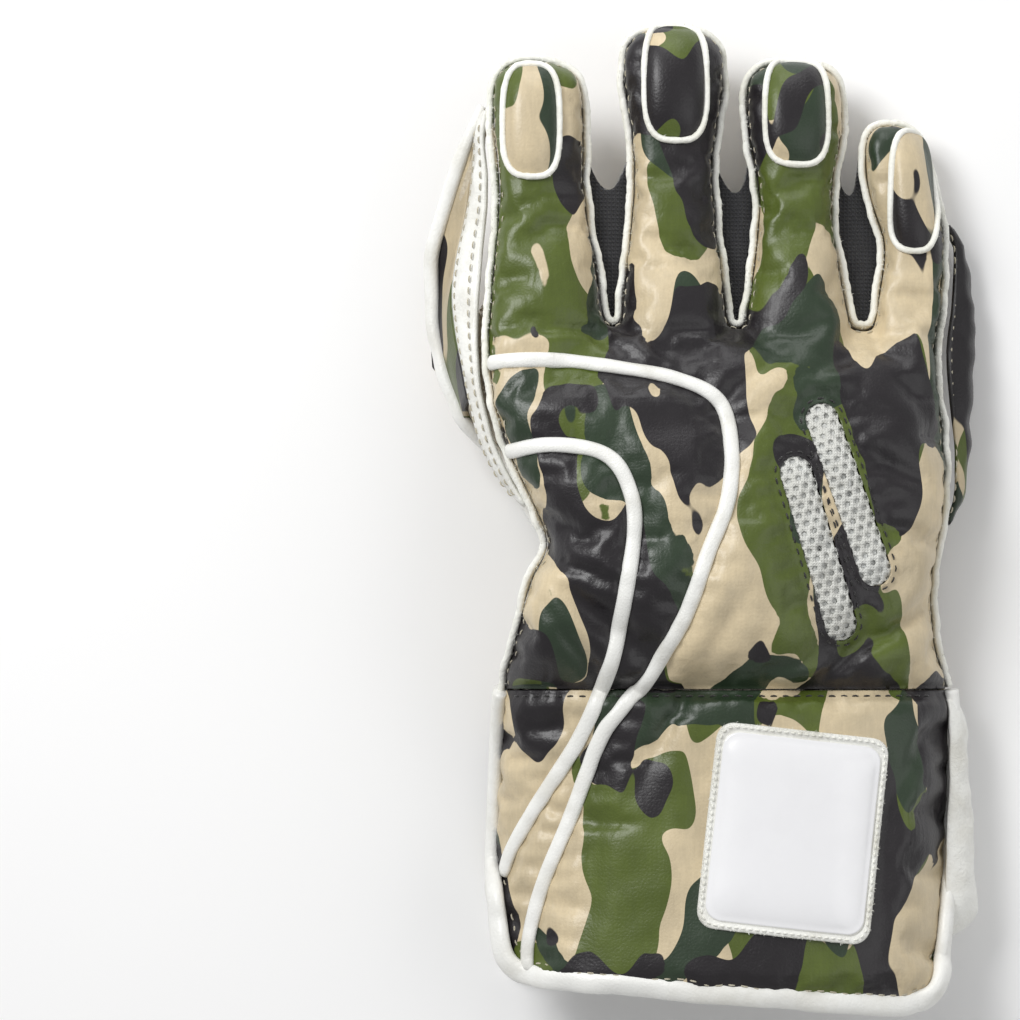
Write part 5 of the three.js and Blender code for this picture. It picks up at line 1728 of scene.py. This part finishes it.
def plainLeather(name, color, dirt, roughness, scale=1100.0, strength=0.4, creases=0.6, coat=0.1):
    made, tree, shader = material(name, roughness, Coat_Weight=coat, Coat_Roughness=0.3)
    grain = place(tree, "grain", Scale=scale, Creases=creases)
    mask = mathNode(tree, "MULTIPLY", edgeStep(tree, grain.outputs["Patches"], 0.42, 0.78), 0.7)
    tree.links.new(mixColors(tree, mask, color, dirt), shader.inputs["Base Color"])
    rough = mathNode(tree, "MULTIPLY_ADD", grain.outputs["Streaks"], 0.22, roughness - 0.1)
    tree.links.new(rough, shader.inputs["Roughness"])
    bump(tree, shader, grain.outputs["Height"], strength, 0.00025)
    return made


def clothLike(name, color, other, roughness, scale, strength, sheen=0.3, depth=0.0003):
    made, tree, shader = material(name, roughness, Sheen_Weight=sheen, Sheen_Roughness=0.5)
    weave = place(tree, "weave", Scale=scale)
    grain = place(tree, "grain", Scale=800.0)
    fibres = edgeStep(tree, weave.outputs["Fibres"], 0.35, 0.7)
    mixed = mixColors(tree, fibres, other, color)
    patches = edgeStep(tree, grain.outputs["Patches"], 0.35, 0.75)
    shade = mixColors(tree, patches, (0.9, 0.89, 0.87, 1), grey(1))
    tree.links.new(mixColors(tree, 1.0, mixed, shade, "MULTIPLY"), shader.inputs["Base Color"])
    bump(tree, shader, weave.outputs["Height"], strength, depth)
    return made


looks = {
    "print": printedLeather("printed_leather", (0.0, 0.0, 0.0), 0.55),
    "printCuff": printedLeather("printed_leather_cuff", (0.21, 0.05, 0.1), 0.5),
    "printNail": printedLeather("printed_leather_nail", (0.15, 0.62, 0.3), 0.45),
    "printDark": printedLeather("printed_leather_dark", (0.6, 0.1, 0.5), 1.2, 0.8),
    "white": plainLeather("white_leather", srgb(236, 236, 231), srgb(206, 203, 192), 0.42),
    "piping": plainLeather("piping_leather", srgb(240, 240, 236), srgb(216, 214, 205), 0.36, 1500.0, 0.3, 0.4,
                           0.15),
    "raw": plainLeather("raw_leather", srgb(243, 243, 236), srgb(208, 206, 190), 0.85, 700.0, 0.6, 0.0),
    "rubber": clothLike("pimpled_rubber", srgb(205, 196, 178), srgb(184, 172, 150), 0.72, 1100.0, 0.3, 0.1),
    "rubberPale": clothLike("pale_rubber", srgb(228, 223, 211), srgb(206, 198, 182), 0.7, 1100.0, 0.3, 0.1),
    "black": clothLike("black_cloth", srgb(36, 36, 44), srgb(16, 16, 20), 0.7, 1800.0, 0.6, 0.4),
    "net": clothLike("spacer_mesh", srgb(238, 239, 236), srgb(205, 206, 200), 0.65, 2600.0, 0.5, 0.2),
    "backing": clothLike("mesh_backing", srgb(226, 228, 226), srgb(190, 192, 190), 0.85, 1600.0, 0.6, 0.2),
    "lining": clothLike("towel_lining", srgb(206, 202, 192), srgb(160, 156, 146), 0.9, 700.0, 0.9, 0.6,
                        0.0006),
    "thread": clothLike("pale_thread", srgb(222, 216, 196), srgb(180, 172, 150), 0.75, 4000.0, 0.5, 0.3),
    "darkThread": clothLike("dark_thread", srgb(34, 30, 30), srgb(14, 12, 12), 0.6, 4000.0, 0.5, 0.3),
    "gloss": plainLeather("patch_gloss", srgb(240, 240, 242), srgb(236, 236, 238), 0.16, 700.0, 0.04, 0.2,
                          0.9),
}
print("stage: materials", flush=True)


def dress(obj, node, slotName, *names):
    for k, name in enumerate(names):
        if k < len(obj.data.materials):
            obj.data.materials[k] = looks[name]
        else:
            obj.data.materials.append(looks[name])
    points = pointsOf(obj)
    if points[:, 2].min() < 0:
        points[:, 2] = np.maximum(points[:, 2], 0)
        setPoints(obj, points)
    obj.data.shade_smooth()
    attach(obj, "root")
    if node:
        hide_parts(node)


# Each piece with its CAD node, its slot and its looks, outer face first
for dressed in (
    (handBack, "hand_back", "printed_leather", "print", "lining"),
    (cuffBack, "cuff_back", "printed_leather", "printCuff", "lining"),
    (palmFacing, "palm_facing", "pimpled_rubber", "rubber", "lining"),
    (cuffPalm, "cuff_palm", "printed_leather", "printCuff", "lining"),
    (weltObj, "edge_welt", "raw_leather", "raw"),
    (fibres, None, "raw_leather", "raw"),
    (pipingUpper, "piping_upper", "white_leather", "piping"),
    (pipingLower, "piping_lower", "white_leather", "piping"),
    (cuffBackBinding, "cuff_back_binding", "white_leather", "piping"),
    (cuffPalmBinding, "cuff_palm_binding", "white_leather", "piping"),
    *[(net, name, "spacer_mesh", "net", "net") for name, (net, _) in ventObjects.items()],
    *[(backing, None, "spacer_mesh", "backing", "backing") for _, backing in ventObjects.values()],
    *[(pad, f"nail_pad_{name}", "printed_leather", "printNail") for name, (pad, _) in nailObjects.items()],
    *[(trim, f"nail_piping_{name}", "white_leather", "raw") for name, (_, trim) in nailObjects.items()],
    (patchObj, "patch", "patch_gloss", "gloss", "white"),
    (patchStitches, None, "patch_gloss", "raw"),
    (patchFibres, None, "patch_gloss", "raw"),
    *[(piece, name, "black_cloth", "black", "black") for name, piece in gussetObjects.items()],
    (indexSide, "index_side", "white_leather", "white", "white"),
    (littleSide, "little_side", "printed_leather", "printDark", "printDark"),
    (thumbBack, "thumb_back", "printed_leather", "printDark", "lining"),
    (thumbFacing, "thumb_facing", "pale_rubber", "rubberPale", "lining"),
    (thumbCollar, "thumb_gusset", "white_leather", "white", "lining"),
    (webBack, "web_back", "printed_leather", "printDark", "printDark"),
    (webFacing, "web_facing", "pimpled_rubber", "rubber", "rubber"),
    (webBinding, "web_binding", "white_leather", "piping"),
    (cuffGusset, "cuff_gusset", "white_leather", "white", "white"),
    (seamStitches, None, "printed_leather", "thread"),
    (darkStitches, None, "printed_leather", "darkThread"),
    (cuffStitches, None, "white_leather", "thread"),
    (cuffPalmStitches, None, "white_leather", "thread"),
    (collarStitches, None, "white_leather", "thread"),
    (overlockStitches, None, "black_cloth", "darkThread"),
    (nailFibres, None, "white_leather", "raw"),
    (palmFibres, None, "pimpled_rubber", "raw"),
    (indexStitches, None, "white_leather", "thread"),
    (littleStitches, None, "printed_leather", "thread"),
    (palmPimples, None, "pimpled_rubber", "rubber"),
    (thumbPimples, None, "pale_rubber", "rubberPale"),
    (webPimples, None, "pimpled_rubber", "rubber"),
):
    dress(*dressed)

# The patch's rim outside its glossy face is plain leather
rim = len(patchOutline()) * patch["padRings"]
for face in patchObj.data.polygons:
    if min(face.vertices) >= rim:
        face.material_index = 1
for spare in (backSkin, palmSkin):
    bpy.data.objects.remove(spare)


print("stage: pieces dressed", flush=True)

# Floor, light and camera
floor = {"size": 4.0, "drop": 0.0004, "color": grey(0.93), "other": grey(0.9), "roughness": 0.9}
bpy.ops.mesh.primitive_plane_add(size=floor["size"], location=(0, 0, -floor["drop"]))
floorObj = bpy.context.object
floorObj.name = "floor"
floorMaterial, floorTree, floorShader = material("floor", floor["roughness"])
floorNoise = noiseNode(floorTree, placeNode(floorTree), 3.0, 3.0)
floorColor = mixColors(floorTree, floorNoise.outputs["Fac"], floor["other"], floor["color"])
floorTree.links.new(floorColor, floorShader.inputs["Base Color"])
floorObj.data.materials.append(floorMaterial)

light = {"world": 0.4, "key": 9.0, "keySize": 0.45, "fill": 2.0, "fillSize": 0.8, "rim": 2.2, "rimSize": 0.5}
world = bpy.data.worlds.new("studio")
bpy.context.scene.world = world
world.use_nodes = True
world.node_tree.nodes["Background"].inputs["Color"].default_value = (1, 1, 1, 1)
world.node_tree.nodes["Background"].inputs["Strength"].default_value = light["world"]


def areaLight(name, place, aim, power, size):
    data = bpy.data.lights.new(name, "AREA")
    data.energy = power
    data.size = size
    obj = bpy.data.objects.new(name, data)
    obj.location = place
    obj.rotation_euler = (Vector(aim) - Vector(place)).to_track_quat("-Z", "Y").to_euler()
    bpy.context.scene.collection.objects.link(obj)


areaLight("key", (-0.55, 0.5, 0.9), (0, 0, 0.02), light["key"], light["keySize"])
areaLight("fill", (0.8, -0.2, 0.7), (0, 0, 0.02), light["fill"], light["fillSize"])
areaLight("rim", (0.1, 0.9, 0.35), (0, 0, 0.03), light["rim"], light["rimSize"])

camera = {"aimX": -63, "aimY": 145, "aimZ": 30, "elevation": 88, "distance": 1.3, "frame": 0.2958,
          "sensor": 36}
data = bpy.data.cameras.new("camera")
cameraObj = bpy.data.objects.new("camera", data)
aim = Vector(toScene([(camera["aimX"], camera["aimY"], camera["aimZ"])])[0])
tilt = math.radians(camera["elevation"])
cameraObj.location = aim + camera["distance"] * Vector((0, -math.cos(tilt), math.sin(tilt)))
cameraObj.rotation_euler = (aim - cameraObj.location).to_track_quat("-Z", "Y").to_euler()
data.sensor_width = camera["sensor"]
data.lens = camera["sensor"] * camera["distance"] / camera["frame"]
bpy.context.scene.collection.objects.link(cameraObj)
bpy.context.scene.camera = cameraObj
bpy.context.scene.view_settings.view_transform = "Standard"

print("stage: done", flush=True)
